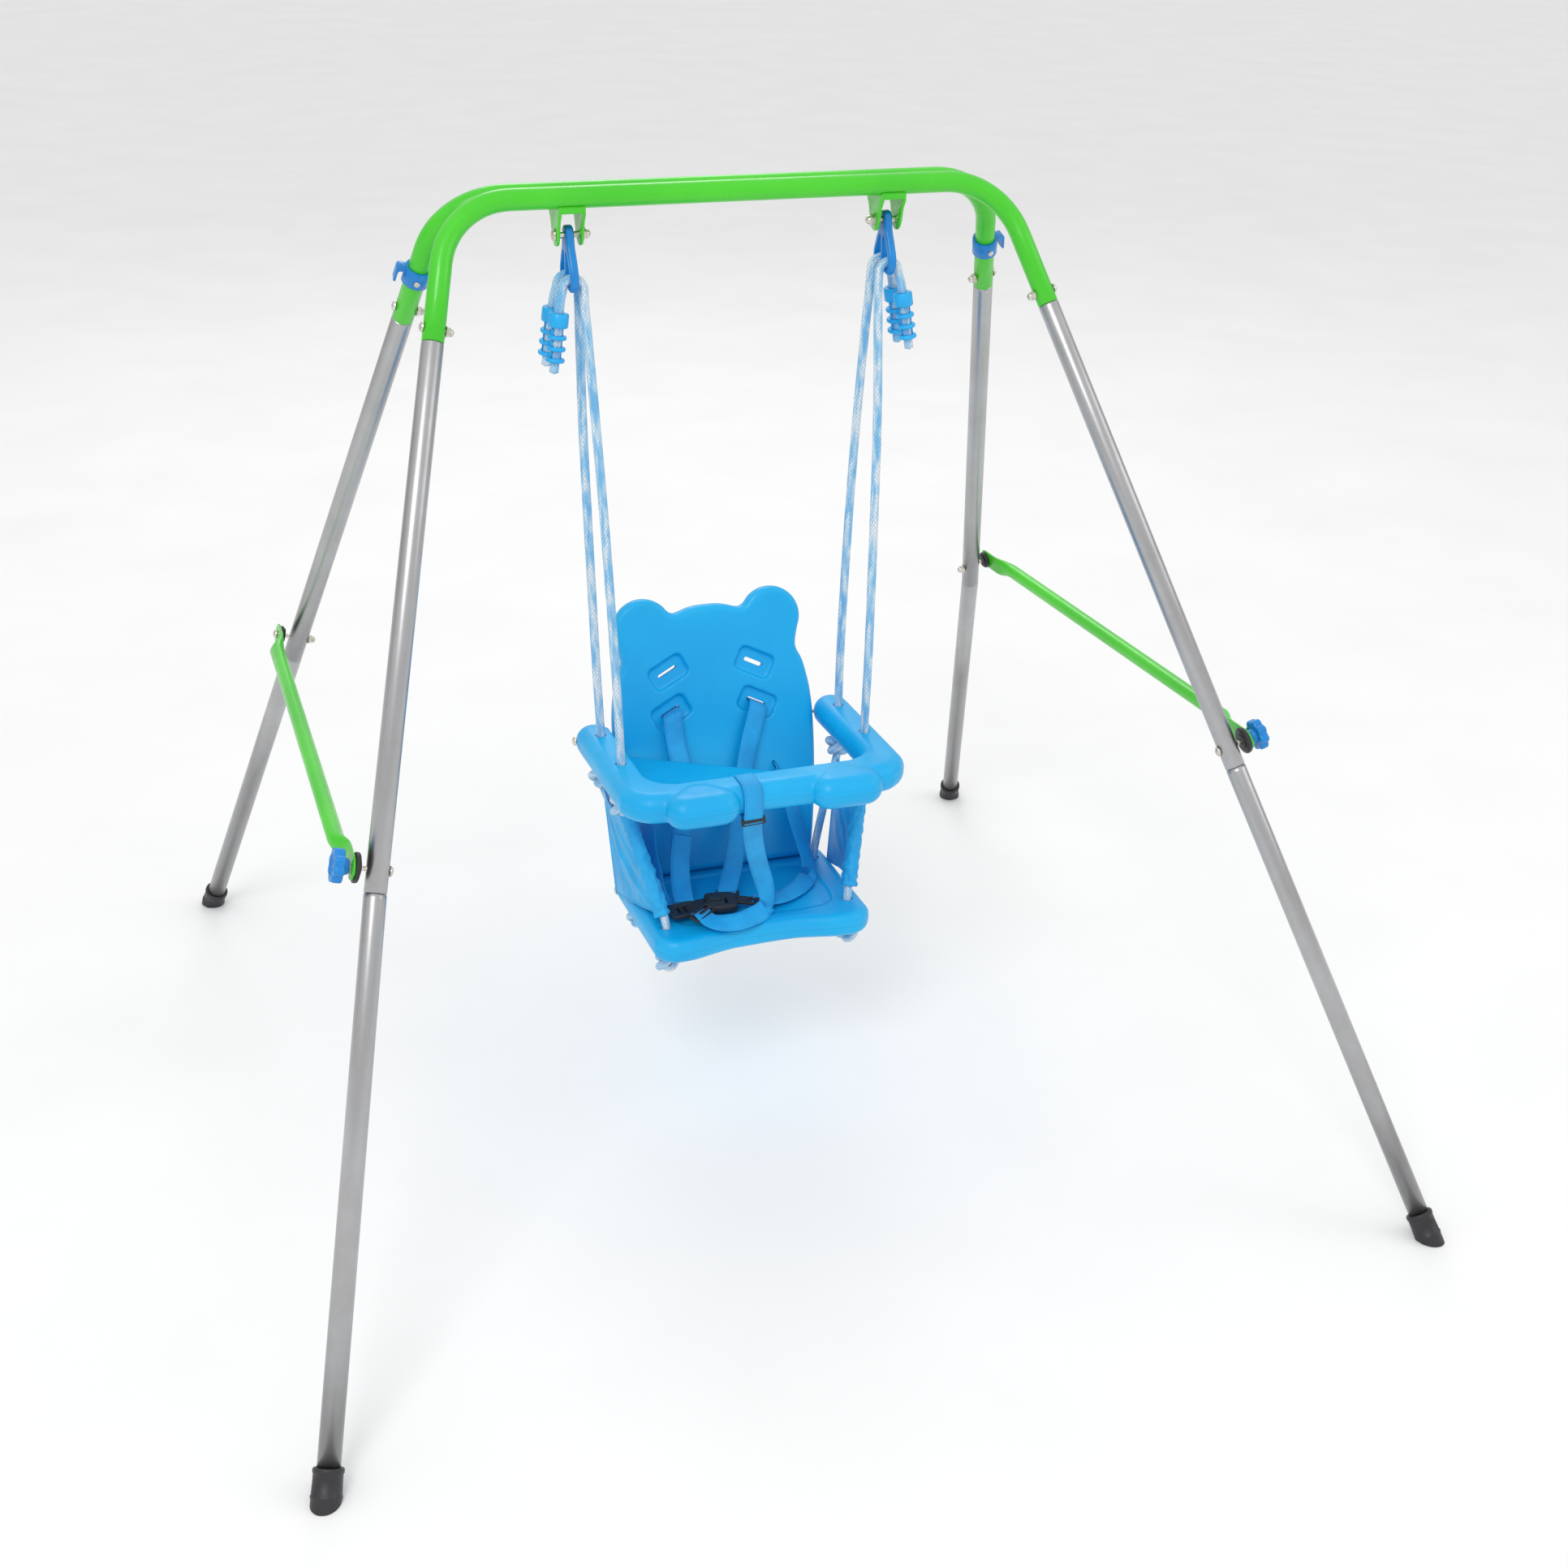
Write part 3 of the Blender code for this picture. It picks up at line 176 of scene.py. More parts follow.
def feed(tree, shader, color, rough):
    tree.links.new(color, shader.inputs["Base Color"])
    tree.links.new(rough, shader.inputs["Roughness"])


def bump(tree, shader, height, strength, distance, normal=None):
    inputs = {"Height": height, "Strength": strength, "Distance": distance}
    if normal is not None:
        inputs["Normal"] = normal
    made = node(tree, "Bump", inputs)
    tree.links.new(made.outputs["Normal"], shader.inputs["Normal"])
    return made.outputs["Normal"]


# ------------------------------------------------------------------ materials
def painted_green():
    """Powder coat: faint orange peel, slow tone change and small dull rubs."""
    made, tree, shader = start_material("green_paint", (0.05, 0.6, 0.01), Coat_Weight=0.2,
                                        Coat_Roughness=0.12)
    place = object_coords(tree)
    tone = grain(tree, place, 7.0, 3.0)
    rubs = grain(tree, place, 55.0, 6.0, 0.7)
    color = ramp(tree, tone, (0.3, (0.04, 0.52, 0.006)), (0.7, (0.062, 0.62, 0.012)))
    feed(tree, shader, color, span(tree, rubs, 0.35, 0.72, 0.24, 0.42))
    bump(tree, shader, grain(tree, place, 750.0, 1.0), 0.1, 0.0004)
    return made


def galvanised_tube():
    """Bright zinc: fine crystal patches and slight dulling."""
    made, tree, shader = start_material("galvanised_tube", (0.6, 0.61, 0.63), Metallic=1.0)
    place = object_coords(tree)
    cells = node(tree, "TexVoronoi", {"Vector": place, "Scale": 150.0}, feature="F1")
    cloud = grain(tree, place, 14.0, 5.0, 0.6)
    mixed = maths(tree, "ADD", maths(tree, "MULTIPLY", cells.outputs["Color"], 0.1),
                  maths(tree, "MULTIPLY", cloud, 0.9))
    color = ramp(tree, mixed, (0.3, (0.415, 0.412, 0.415)), (0.75, (0.485, 0.49, 0.5)))
    feed(tree, shader, color, span(tree, mixed, 0.3, 0.8, 0.38, 0.3))
    bump(tree, shader, grain(tree, place, 420.0, 2.0), 0.06, 0.0003)
    return made


def moulded(name, dark, light, low_rough, high_rough):
    """Injection-moulded plastic with a fine texture and slow tone change."""
    made, tree, shader = start_material(name, light)
    place = object_coords(tree)
    color = ramp(tree, grain(tree, place, 24.0, 3.0), (0.3, dark), (0.7, light))
    rough = span(tree, grain(tree, place, 130.0, 4.0, 0.6), 0.3, 0.7, low_rough, high_rough)
    feed(tree, shader, color, rough)
    bump(tree, shader, grain(tree, place, 900.0, 1.0), 0.12, 0.0003)
    return made


def seat_plastic(name, normal, seam_at):
    """Blow-moulded plastic with a pebbled skin and the parting line of its mould."""
    made, tree, shader = start_material(name, (0.004, 0.42, 0.84), Coat_Weight=0.05, Coat_Roughness=0.25,
                                        Specular_IOR_Level=0.38)
    place = object_coords(tree)
    tone = grain(tree, place, 9.0, 3.0)
    color = ramp(tree, tone, (0.3, (0.001, 0.375, 0.76)), (0.7, (0.003, 0.435, 0.83)))
    rough = span(tree, grain(tree, place, 70.0, 5.0, 0.65), 0.3, 0.7, 0.3, 0.46)
    feed(tree, shader, color, rough)
    level = node(tree, "VectorMath", {0: place, 1: normal}, operation="DOT_PRODUCT").outputs["Value"]
    away = maths(tree, "ABSOLUTE", maths(tree, "SUBTRACT", level, seam_at))
    seam = span(tree, away, 0.0, 0.0007, 1.0, 0.0)
    pebbles = grain(tree, place, 520.0, 2.0)
    normal_out = bump(tree, shader, pebbles, 0.1, 0.0004)
    bump(tree, shader, seam, 0.55, 0.0008, normal_out)
    return made


def zinc_bolt():
    made, tree, shader = start_material("zinc_bolt", (0.74, 0.7, 0.62), Metallic=1.0)
    place = object_coords(tree)
    stains = grain(tree, place, 160.0, 5.0, 0.6)
    color = ramp(tree, stains, (0.3, (0.56, 0.5, 0.4)), (0.65, (0.78, 0.76, 0.72)))
    feed(tree, shader, color, span(tree, stains, 0.3, 0.7, 0.4, 0.2))
    bump(tree, shader, grain(tree, place, 900.0, 2.0), 0.08, 0.0002)
    return made


def rope_material():
    """Diamond braid from the tube's own coordinates: white with long pale blue flecks, and painted shade in
    the grooves between the strands.
    """
    made, tree, shader = start_material("rope", (0.8, 0.88, 0.93), Roughness=0.82, Sheen_Weight=0.25)
    where = node(tree, "UVMap", uv_map="braid").outputs["UV"]
    parts = node(tree, "SeparateXYZ", {"Vector": where})
    around, along = parts.outputs["X"], parts.outputs["Y"]
    turn = maths(tree, "MULTIPLY", around, 8.0 * math.pi)
    rise = maths(tree, "MULTIPLY", along, 2.0 * math.pi / BRAID_PITCH)
    strand_a = maths(tree, "ABSOLUTE", maths(tree, "SINE", maths(tree, "ADD", turn, rise)))
    strand_b = maths(tree, "ABSOLUTE", maths(tree, "SINE", maths(tree, "SUBTRACT", turn, rise)))
    braid = maths(tree, "MULTIPLY", strand_a, strand_b)
    swept = maths(tree, "MULTIPLY", waves(tree, around, 1.0), 1.1)
    twisted = node(tree, "CombineXYZ", {"X": swept, "Y": maths(tree, "MULTIPLY", along, 34.0), "Z": 0.3})
    patches = grain(tree, twisted.outputs["Vector"], 1.0, 1.5)
    fibres = grain(tree, where, 700.0, 2.0)
    streaks = maths(tree, "MULTIPLY", maths(tree, "SUBTRACT", strand_a, 0.5), 0.16)
    fleck = maths(tree, "ADD", patches, streaks)
    color = ramp(tree, fleck, (0.44, (0.84, 0.89, 0.92)), (0.53, (0.42, 0.7, 0.92)),
                 (0.7, (0.16, 0.5, 0.88)))
    # Painted shade: the colour turns dark blue in the grooves between the braid's strands.
    dark = node(tree, "Mix", {"Factor": span(tree, braid, 0.0, 0.38, 0.75, 0.0), "A": color,
                              "B": (0.16, 0.38, 0.6, 1.0)}, data_type="RGBA")
    tree.links.new(dark.outputs["Result"], shader.inputs["Base Color"])
    height = maths(tree, "ADD", braid, maths(tree, "MULTIPLY", fibres, 0.25))
    bump(tree, shader, height, 0.85, 0.001)
    return made


def cloth_material():
    """Thin woven nylon with a soft sheen; painted shade darkens the hollows of the weave."""
    made, tree, shader = start_material("panel_cloth", (0.004, 0.36, 0.84), Sheen_Weight=0.15,
                                        Sheen_Roughness=0.35)
    place = object_coords(tree)
    parts = node(tree, "SeparateXYZ", {"Vector": place})
    warp = waves(tree, parts.outputs["Y"], CLOTH_THREAD)
    weft = waves(tree, parts.outputs["Z"], CLOTH_THREAD)
    weave = maths(tree, "MULTIPLY", warp, weft)
    # Painted shade: the tone follows the weave, lighter on raised threads and darker in the hollows.
    tone = maths(tree, "ADD", grain(tree, place, 26.0, 4.0, 0.6), maths(tree, "MULTIPLY", weave, 0.04))
    color = ramp(tree, tone, (0.3, (0.002, 0.33, 0.72)), (0.7, (0.006, 0.43, 0.84)))
    rough = span(tree, grain(tree, place, 90.0, 3.0), 0.3, 0.7, 0.42, 0.62)
    feed(tree, shader, color, rough)
    bump(tree, shader, weave, 0.3, 0.0003)
    return made


def webbing_material():
    """Woven strap: cross ribs, a groove near each edge and a soft sheen, with painted shade in the weave and
    along the grooves.
    """
    made, tree, shader = start_material("webbing", (0.003, 0.33, 0.86), Sheen_Weight=0.12,
                                        Sheen_Roughness=0.4)
    where = node(tree, "UVMap", uv_map="weave").outputs["UV"]
    parts = node(tree, "SeparateXYZ", {"Vector": where})
    across, along = parts.outputs["X"], parts.outputs["Y"]
    ribs = waves(tree, along, WEB_RIB)
    rows = waves(tree, across, 1.0 / WEB_ROWS)
    weave = maths(tree, "ADD", maths(tree, "MULTIPLY", ribs, 0.6), maths(tree, "MULTIPLY", rows, 0.4))
    middle = maths(tree, "ABSOLUTE", maths(tree, "SUBTRACT", across, 0.5))
    hem = maths(tree, "ABSOLUTE", maths(tree, "SUBTRACT", middle, 0.42))
    # Line near each edge: a groove in the bump, and painted shade in the colour.
    edge_groove_and_shade = span(tree, hem, 0.0, 0.022, 1.0, 0.0)
    cloud = grain(tree, object_coords(tree), 30.0, 4.0)
    # Painted shade: the tone follows the weave, lighter on raised ribs and darker in their hollows.
    tone = maths(tree, "ADD", cloud, maths(tree, "MULTIPLY", weave, 0.06))
    # Painted shade: the tone darkens along the groove near each edge.
    tone = maths(tree, "SUBTRACT", tone, maths(tree, "MULTIPLY", edge_groove_and_shade, 0.16))
    color = ramp(tree, tone, (0.3, (0.002, 0.31, 0.7)), (0.7, (0.004, 0.42, 0.86)))
    tree.links.new(color, shader.inputs["Base Color"])
    shader.inputs["Roughness"].default_value = 0.55
    bump(tree, shader, maths(tree, "SUBTRACT", weave, maths(tree, "MULTIPLY", edge_groove_and_shade, 1.2)), 0.55, 0.0004)
    return made


def back_normal():
    """Unit vector out of the rear face of the leaning seat back."""
    return Vector((0.0, math.cos(BACK_LEAN), -math.sin(BACK_LEAN)))


BACK_SEAM = back_normal().dot(Vector((0.0, BACK_FOOT_Y, BACK_FOOT_Z))) + 0.5 * BACK_T
FINISH = {
    "green_paint": painted_green(),
    "galvanised_tube": galvanised_tube(),
    "black_plastic": moulded("black_plastic", (0.014, 0.014, 0.016), (0.026, 0.026, 0.03), 0.38, 0.55),
    "blue_plastic": moulded("blue_plastic", (0.001, 0.18, 0.54), (0.002, 0.24, 0.66), 0.24, 0.38),
    "adjuster_plastic": moulded("adjuster_plastic", (0.004, 0.36, 0.78), (0.01, 0.44, 0.86), 0.27, 0.4),
    "seat_plastic": seat_plastic("seat_plastic", (0.0, 0.0, 1.0), BAR_BOTTOM + 0.5 * BAR_T),
    "seat_back_plastic": seat_plastic("seat_back_plastic", tuple(back_normal()), BACK_SEAM),
    "seat_base_plastic": seat_plastic("seat_base_plastic", (0.0, 0.0, 1.0), BASE_LOW + 0.5 * BASE_T),
    "zinc_bolt": zinc_bolt(),
    "rope": rope_material(),
    "panel_cloth": cloth_material(),
    "webbing": webbing_material(),
}


# ------------------------------------------------------------------ mesh helpers
def publish(name, mesh_builder, finish, body, replaced=()):
    """Piece made from a mesh, with its finish, riding on a body and standing for CAD nodes."""
    return finish_piece(loose(name, mesh_builder), finish, body, replaced)


def apply_modifiers(made):
    """The object's modifiers become part of its mesh."""
    bpy.context.view_layer.update()
    graph = bpy.context.evaluated_depsgraph_get()
    mesh = bpy.data.meshes.new_from_object(made.evaluated_get(graph))
    made.modifiers.clear()
    old = made.data
    made.data = mesh
    bpy.data.meshes.remove(old)
    return made


def sharpen(made, width, segments, angle_deg):
    """Small rounded edges wherever two faces meet at more than an angle."""
    modifier = made.modifiers.new("edges", "BEVEL")
    modifier.width = width
    modifier.segments = segments
    modifier.limit_method = "ANGLE"
    modifier.angle_limit = math.radians(angle_deg)
    modifier.harden_normals = True
    modifier.use_clamp_overlap = True
    return apply_modifiers(made)


def boolean(made, others, operation):
    """Apply one exact boolean after another, and remove the tools."""
    for other in others:
        modifier = made.modifiers.new("tool", "BOOLEAN")
        modifier.operation = operation
        modifier.object = other
    apply_modifiers(made)
    for other in others:
        bpy.data.objects.remove(other)
    return made


def loose(name, mesh_builder):
    """Temporary object used as a tool."""
    bmesh.ops.recalc_face_normals(mesh_builder, faces=mesh_builder.faces[:])
    mesh = bpy.data.meshes.new(name)
    mesh_builder.to_mesh(mesh)
    mesh_builder.free()
    made = bpy.data.objects.new(name, mesh)
    bpy.context.scene.collection.objects.link(made)
    return made


def ring(mesh_builder, points):
    return [mesh_builder.verts.new(point) for point in points]


def bridge(mesh_builder, ring_a, ring_b):
    count = len(ring_a)
    for index in range(count):
        after = (index + 1) % count
        mesh_builder.faces.new((ring_a[index], ring_a[after], ring_b[after], ring_b[index]))


def cap(mesh_builder, loop):
    face = mesh_builder.faces.new(loop)
    face.normal_update()
    bmesh.ops.triangulate(mesh_builder, faces=[face], ngon_method="EAR_CLIP")


def skin(loops, closed=False):
    """Mesh through a list of point loops, capped at both ends or joined into a ring."""
    mesh_builder = bmesh.new()
    rings = [ring(mesh_builder, loop) for loop in loops]
    for ring_a, ring_b in zip(rings, rings[1:]):
        bridge(mesh_builder, ring_a, ring_b)
    if closed:
        bridge(mesh_builder, rings[-1], rings[0])
    else:
        cap(mesh_builder, rings[0])
        cap(mesh_builder, rings[-1])
    return mesh_builder


def arc(centre, radius, start_deg, end_deg, steps):
    points = []
    for step in range(steps + 1):
        angle = math.radians(start_deg + (end_deg - start_deg) * step / steps)
        points.append((centre[0] + radius * math.cos(angle), centre[1] + radius * math.sin(angle)))
    return points


def mirrored(half):
    return half + [(-u, v) for u, v in reversed(half[1:-1])]


def shift(x, y, z):
    return Matrix.Translation((x, y, z))


def axes_frame(x_axis, y_axis, z_axis, origin):
    """Frame from its three axes and its origin."""
    made = Matrix((x_axis, y_axis, z_axis)).transposed().to_4x4()
    made.translation = origin
    return made


def axis_frame(origin, direction, up=Vector((0.0, 0.0, 1.0))):
    """Frame whose Z axis is a direction, and whose X axis is near an up vector."""
    z_axis = Vector(direction).normalized()
    x_axis = Vector(up) - z_axis * Vector(up).dot(z_axis)
    if x_axis.length < 0.01:
        x_axis = z_axis.orthogonal()
    x_axis.normalize()
    return axes_frame(x_axis, z_axis.cross(x_axis), z_axis, origin)


def tangents_of(points):
    found = []
    for index in range(len(points)):
        before = points[max(index - 1, 0)]
        after = points[min(index + 1, len(points) - 1)]
        found.append((after - before).normalized())
    return found


def running_lengths(points, start=0.0):
    """Distance along a line at each of its points."""
    lengths = [start]
    for before, after in zip(points, points[1:]):
        lengths.append(lengths[-1] + (after - before).length)
    return lengths


def woven_skin(layer, loops, marks, lengths):
    """Open skin through point loops whose coordinates run across by marks and along by lengths."""
    mesh_builder = bmesh.new()
    coords = mesh_builder.loops.layers.uv.new(layer)
    rings = [ring(mesh_builder, loop) for loop in loops]
    count = len(loops[0])
    for row, (ring_a, ring_b) in enumerate(zip(rings, rings[1:])):
        start, end = lengths[row], lengths[row + 1]
        for index, (low, high) in enumerate(marks):
            after = (index + 1) % count
            face = mesh_builder.faces.new((ring_a[index], ring_a[after], ring_b[after], ring_b[index]))
            for corner, place in zip(face.loops, ((low, start), (high, start), (high, end), (low, end))):
                corner[coords].uv = place
    return mesh_builder, rings


def path_frames(points):
    """Side and up axes carried along a path without twisting."""
    tangents = tangents_of(points)
    side = tangents[0].orthogonal().normalized()
    frames = []
    for tangent in tangents:
        side = (side - tangent * side.dot(tangent)).normalized()
        frames.append((side, tangent.cross(side)))
    return frames


def smooth_curve(points, steps):
    """Catmull-Rom samples through the points."""
    result = []
    for index in range(len(points) - 1):
        before = points[max(index - 1, 0)]
        start = points[index]
        end = points[index + 1]
        after = points[min(index + 2, len(points) - 1)]
        for step in range(steps):
            t = step / steps
            result.append(0.5 * (2.0 * start + (end - before) * t
                                 + (2.0 * before - 5.0 * start + 4.0 * end - after) * t ** 2
                                 + (3.0 * start - before - 3.0 * end + after) * t ** 3))
    result.append(points[-1])
    return result


def even_points(points, spacing):
    """The same line with points a fixed distance apart."""
    lengths = running_lengths(points)
    count = max(2, int(round(lengths[-1] / spacing)))
    result = []
    index = 0
    for step in range(count + 1):
        target = lengths[-1] * step / count
        while index < len(points) - 2 and lengths[index + 1] < target:
            index += 1
        gap = lengths[index + 1] - lengths[index]
        result.append(points[index].lerp(points[index + 1], (target - lengths[index]) / gap))
    return result


def tube_loops(points, radii, sides):
    loops = []
    for point, radius, (side, up_axis) in zip(points, radii, path_frames(points)):
        loop = []
        for index in range(sides):
            angle = 2.0 * math.pi * index / sides
            loop.append(point + radius * (math.cos(angle) * side + math.sin(angle) * up_axis))
        loops.append(loop)
    return loops


def look(name, mesh_builder, finish, body):
    """Piece that stands for the one CAD node of its name."""
    return publish(name + "_look", mesh_builder, finish, body, (name,))


def tube(name, finish, body, stations):
    """Solid-looking tube through (point, radius) stations."""
    points = [Vector(point) for point, _ in stations]
    radii = [radius for _, radius in stations]
    return look(name, skin(tube_loops(points, radii, TUBE_SIDES)), finish, body)


def lathe_mesh(profile, place, sides=32, closed=False):
    """Turned shape from (radius, height) points; a zero radius closes an end."""
    mesh_builder = bmesh.new()
    rings = []
    for radius, height in profile:
        if radius < 1e-6:
            rings.append(mesh_builder.verts.new(place @ Vector((0.0, 0.0, height))))
            continue
        loop = []
        for index in range(sides):
            angle = 2.0 * math.pi * index / sides
            loop.append(place @ Vector((radius * math.cos(angle), radius * math.sin(angle), height)))
        rings.append(ring(mesh_builder, loop))
    pairs = list(zip(rings, rings[1:]))
    if closed:
        pairs.append((rings[-1], rings[0]))
    for ring_a, ring_b in pairs:
        if isinstance(ring_a, bmesh.types.BMVert):
            for index in range(sides):
                mesh_builder.faces.new((ring_a, ring_b[index], ring_b[(index + 1) % sides]))
        elif isinstance(ring_b, bmesh.types.BMVert):
            for index in range(sides):
                mesh_builder.faces.new((ring_a[index], ring_a[(index + 1) % sides], ring_b))
        else:
            bridge(mesh_builder, ring_a, ring_b)
    return mesh_builder


def cylinder(place, radius, length, sides=20):
    return lathe_mesh([(0.0, 0.0), (radius, 0.0), (radius, length), (0.0, length)], place, sides)


def rod(name, start, end, radius, sides=32):
    """Temporary cylinder between two points, used as a tool."""
    start, end = Vector(start), Vector(end)
    return loose(name, cylinder(axis_frame(start, end - start), radius, (end - start).length, sides))


def inset(outline, distance):
    """Move each point of an anticlockwise outline inwards by a distance."""
    moved = []
    count = len(outline)
    for index in range(count):
        here = Vector(outline[index])
        edge_in = (here - Vector(outline[index - 1])).normalized()
        edge_out = (Vector(outline[(index + 1) % count]) - here).normalized()
        normal_in = Vector((-edge_in.y, edge_in.x))
        normal_out = Vector((-edge_out.y, edge_out.x))
        miter = (normal_in + normal_out) / (1.0 + normal_in.dot(normal_out))
        moved.append(here + distance * miter)
    return moved


def slab_mesh(outline, thickness, round_r, place, steps=5):
    """Plate with rounded rims, from z = 0 to its thickness."""
    levels = []
    for step in range(steps + 1):
        angle = 0.5 * math.pi * step / steps
        levels.append((round_r * (1.0 - math.sin(angle)), round_r * (1.0 - math.cos(angle))))
    levels += [(shrink, thickness - height) for shrink, height in reversed(levels)]
    loops = []
    for shrink, height in levels:
        loops.append([place @ Vector((point[0], point[1], height)) for point in inset(outline, shrink)])
    return skin(loops)


def prism(name, outline, length, place):
    """Temporary sharp-edged bar of an outline, used as a tool."""
    return loose(name, slab_mesh(outline, length, 0.0001, place, 1))


def sideways(low_x):
    """Place for an outline in the YZ plane that is thickened along X from low_x."""
    return YZ_PLANE @ shift(0.0, 0.0, low_x)


def dense_outline(outline, spacing):
    """Smooth closed outline through the points, with points a fixed distance apart."""
    points = [Vector((u, v, 0.0)) for u, v in outline]
    closed = points[-2:] + points + points[:2]
    samples = smooth_curve(closed, 8)[16:-15]
    even = even_points(samples, spacing)[:-1]
    return [(point.x, point.y) for point in even]


def remesh(made, voxel, rounds):
    """One soft continuous skin, as a blow moulding has."""
    modifier = made.modifiers.new("skin", "REMESH")
    modifier.mode = "VOXEL"
    modifier.voxel_size = voxel
    modifier.use_smooth_shade = True
    soften = made.modifiers.new("soften", "SMOOTH")
    soften.factor = 0.5
    soften.iterations = rounds
    return apply_modifiers(made)


def finish_piece(made, finish, body, replaced=()):
    """Turn a tool object into a finished piece."""
    made.data.materials.clear()
    made.data.materials.append(FINISH[finish])
    for polygon in made.data.polygons:
        polygon.use_smooth = True
    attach(made, body)
    if replaced:
        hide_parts(*replaced)
    return made


# ------------------------------------------------------------------ places on the frame
def leg_points(frame_side, side):
    """Corner, mid joint and ground point of one leg's centreline."""
    depth = frame_side["y"]
    corner = Vector((side * CORNER_X, depth * BAR_Y, BAR_Z))
    mid_x, mid_y, mid_z = frame_side["mid"]
    foot_x, foot_y = frame_side["foot"]
    mid = Vector((side * mid_x, depth * mid_y, mid_z))
    foot = Vector((side * foot_x, depth * foot_y, 0.0))
    return corner, mid, foot


def on_upper_leg(frame_side, side, height):
    corner, mid, _ = leg_points(frame_side, side)
    return corner.lerp(mid, (corner.z - height) / (corner.z - mid.z))


def leg_up(frame_side, side):
    corner, mid, _ = leg_points(frame_side, side)
    return (corner - mid).normalized()


def outward(frame_side, side):
    """Bolt direction: square to the leg and to the brace, pointing away from the swing."""
    run = on_upper_leg(FRONT, side, BRACE_BOLT_Z) - on_upper_leg(REAR, side, BRACE_BOLT_Z)
    normal = run.cross(leg_up(frame_side, side)).normalized()
    return normal if normal.x * side > 0.0 else -normal


def u_tube_path(frame_side):
    """Centreline of a green U tube with its two rounded corners."""
    steps = 14
    ends = [on_upper_leg(frame_side, side, frame_side["joint_z"]) for _, side in SIDES]
    corners = [leg_points(frame_side, side)[0] for _, side in SIDES]
    path = [ends[0]]
    for corner, leg_end, other in ((corners[0], ends[0], corners[1]), (corners[1], ends[1], corners[0])):
        to_leg = (leg_end - corner).normalized()
        to_bar = (other - corner).normalized()
        half_angle = 0.5 * to_leg.angle(to_bar)
        reach = BEND_R / math.tan(half_angle)
        middle = (to_leg + to_bar).normalized()
        centre = corner + middle * (BEND_R / math.sin(half_angle))
        start = (corner + to_leg * reach - centre).normalized()
        end = (corner + to_bar * reach - centre).normalized()
        bend = [centre + BEND_R * start.slerp(end, step / steps) for step in range(steps + 1)]
        path += bend if leg_end is ends[0] else list(reversed(bend))
    path.append(ends[1])
    return path


# ------------------------------------------------------------------ frame pieces
def build_u_tube(name, frame_side, body):
    path = u_tube_path(frame_side)
    lip = 0.0009
    start_dir = (path[1] - path[0]).normalized()
    end_dir = (path[-2] - path[-1]).normalized()
    stations = [(path[0], TUBE_R - lip), (path[0] + start_dir * lip, TUBE_R)]
    stations += [(point, TUBE_R) for point in path[1:-1]]
    stations += [(path[-1] + end_dir * lip, TUBE_R), (path[-1], TUBE_R - lip)]
    return tube(name, "green_paint", body, stations)


def build_leg(prefix, frame_side, side_name, side, body):
    _, mid, foot = leg_points(frame_side, side)
    up = leg_up(frame_side, side)
    top = on_upper_leg(frame_side, side, frame_side["joint_z"])
    lip = 0.0006
    tube(f"{prefix}_upper_leg_{side_name}", "galvanised_tube", body, [
        (top + up * 0.03, TUBE_R - 0.002), (top - up * 0.0003, TUBE_R - 0.002),
        (top - up * 0.0006, TUBE_R - 0.0004), (top - up * 0.002, TUBE_R),
        (mid + up * (0.0004 + lip), TUBE_R), (mid + up * 0.0004, TUBE_R - lip),
    ])
    down = (foot - mid).normalized()
    tube(f"{prefix}_lower_leg_{side_name}", "galvanised_tube", body, [
        (mid + up * 0.01, TUBE_R - 0.002), (mid - up * 0.0002, TUBE_R - 0.002),
        (mid - up * 0.0003, TUBE_R - lip), (mid - up * 0.0012, TUBE_R),
        (mid + down * 0.006, TUBE_R), (foot - down * FOOT_FLOOR, TUBE_R),
    ])
    build_foot(f"{prefix}_foot_{side_name}", foot, down, body)


def build_foot(name, foot, down, body):
    """Black cap with a rounded mouth, two moulded bands and a sole level with the ground."""
    band = 0.0007
    profile = [(0.0, -0.02), (FOOT_R, -0.02), (FOOT_R, 0.004), (FOOT_R + band, 0.0048),
               (FOOT_R + band, 0.0072), (FOOT_R, 0.008), (FOOT_R - 0.0004, 0.022), (FOOT_R - 0.0004, 0.03),
               (FOOT_R + 0.0004, 0.0308), (FOOT_R + 0.0004, 0.0345),
               (FOOT_R - 0.0006, FOOT_LENGTH - 0.0003), (FOOT_R - 0.0018, FOOT_LENGTH),
               (TUBE_R + 0.0001, FOOT_LENGTH - 0.0004), (TUBE_R - 0.0006, FOOT_LENGTH - 0.004),
               (0.0, FOOT_LENGTH - 0.004)]
    mesh_builder = lathe_mesh(profile, axis_frame(foot, -down), 40)
    geometry = mesh_builder.verts[:] + mesh_builder.edges[:] + mesh_builder.faces[:]
    cut = bmesh.ops.bisect_plane(mesh_builder, geom=geometry, plane_co=(0, 0, 0), plane_no=(0, 0, 1),
                                 clear_inner=True)
    rim = [item for item in cut["geom_cut"] if isinstance(item, bmesh.types.BMEdge)]
    bmesh.ops.contextual_create(mesh_builder, geom=rim)
    made = look(name, mesh_builder, "black_plastic", body)
    return sharpen(made, 0.0005, 2, 50.0)


def bolt_head(place, head_r):
    """Domed head on a thin washer."""
    wide = head_r * 1.04
    return lathe_mesh([(0.0, 0.0), (wide, 0.0), (wide, 0.0006), (head_r, 0.0009), (head_r, 0.0016),
                       (head_r * 0.9, 0.0026), (head_r * 0.66, 0.0034), (head_r * 0.36, 0.0039),
                       (0.0, 0.004)], place, 28)


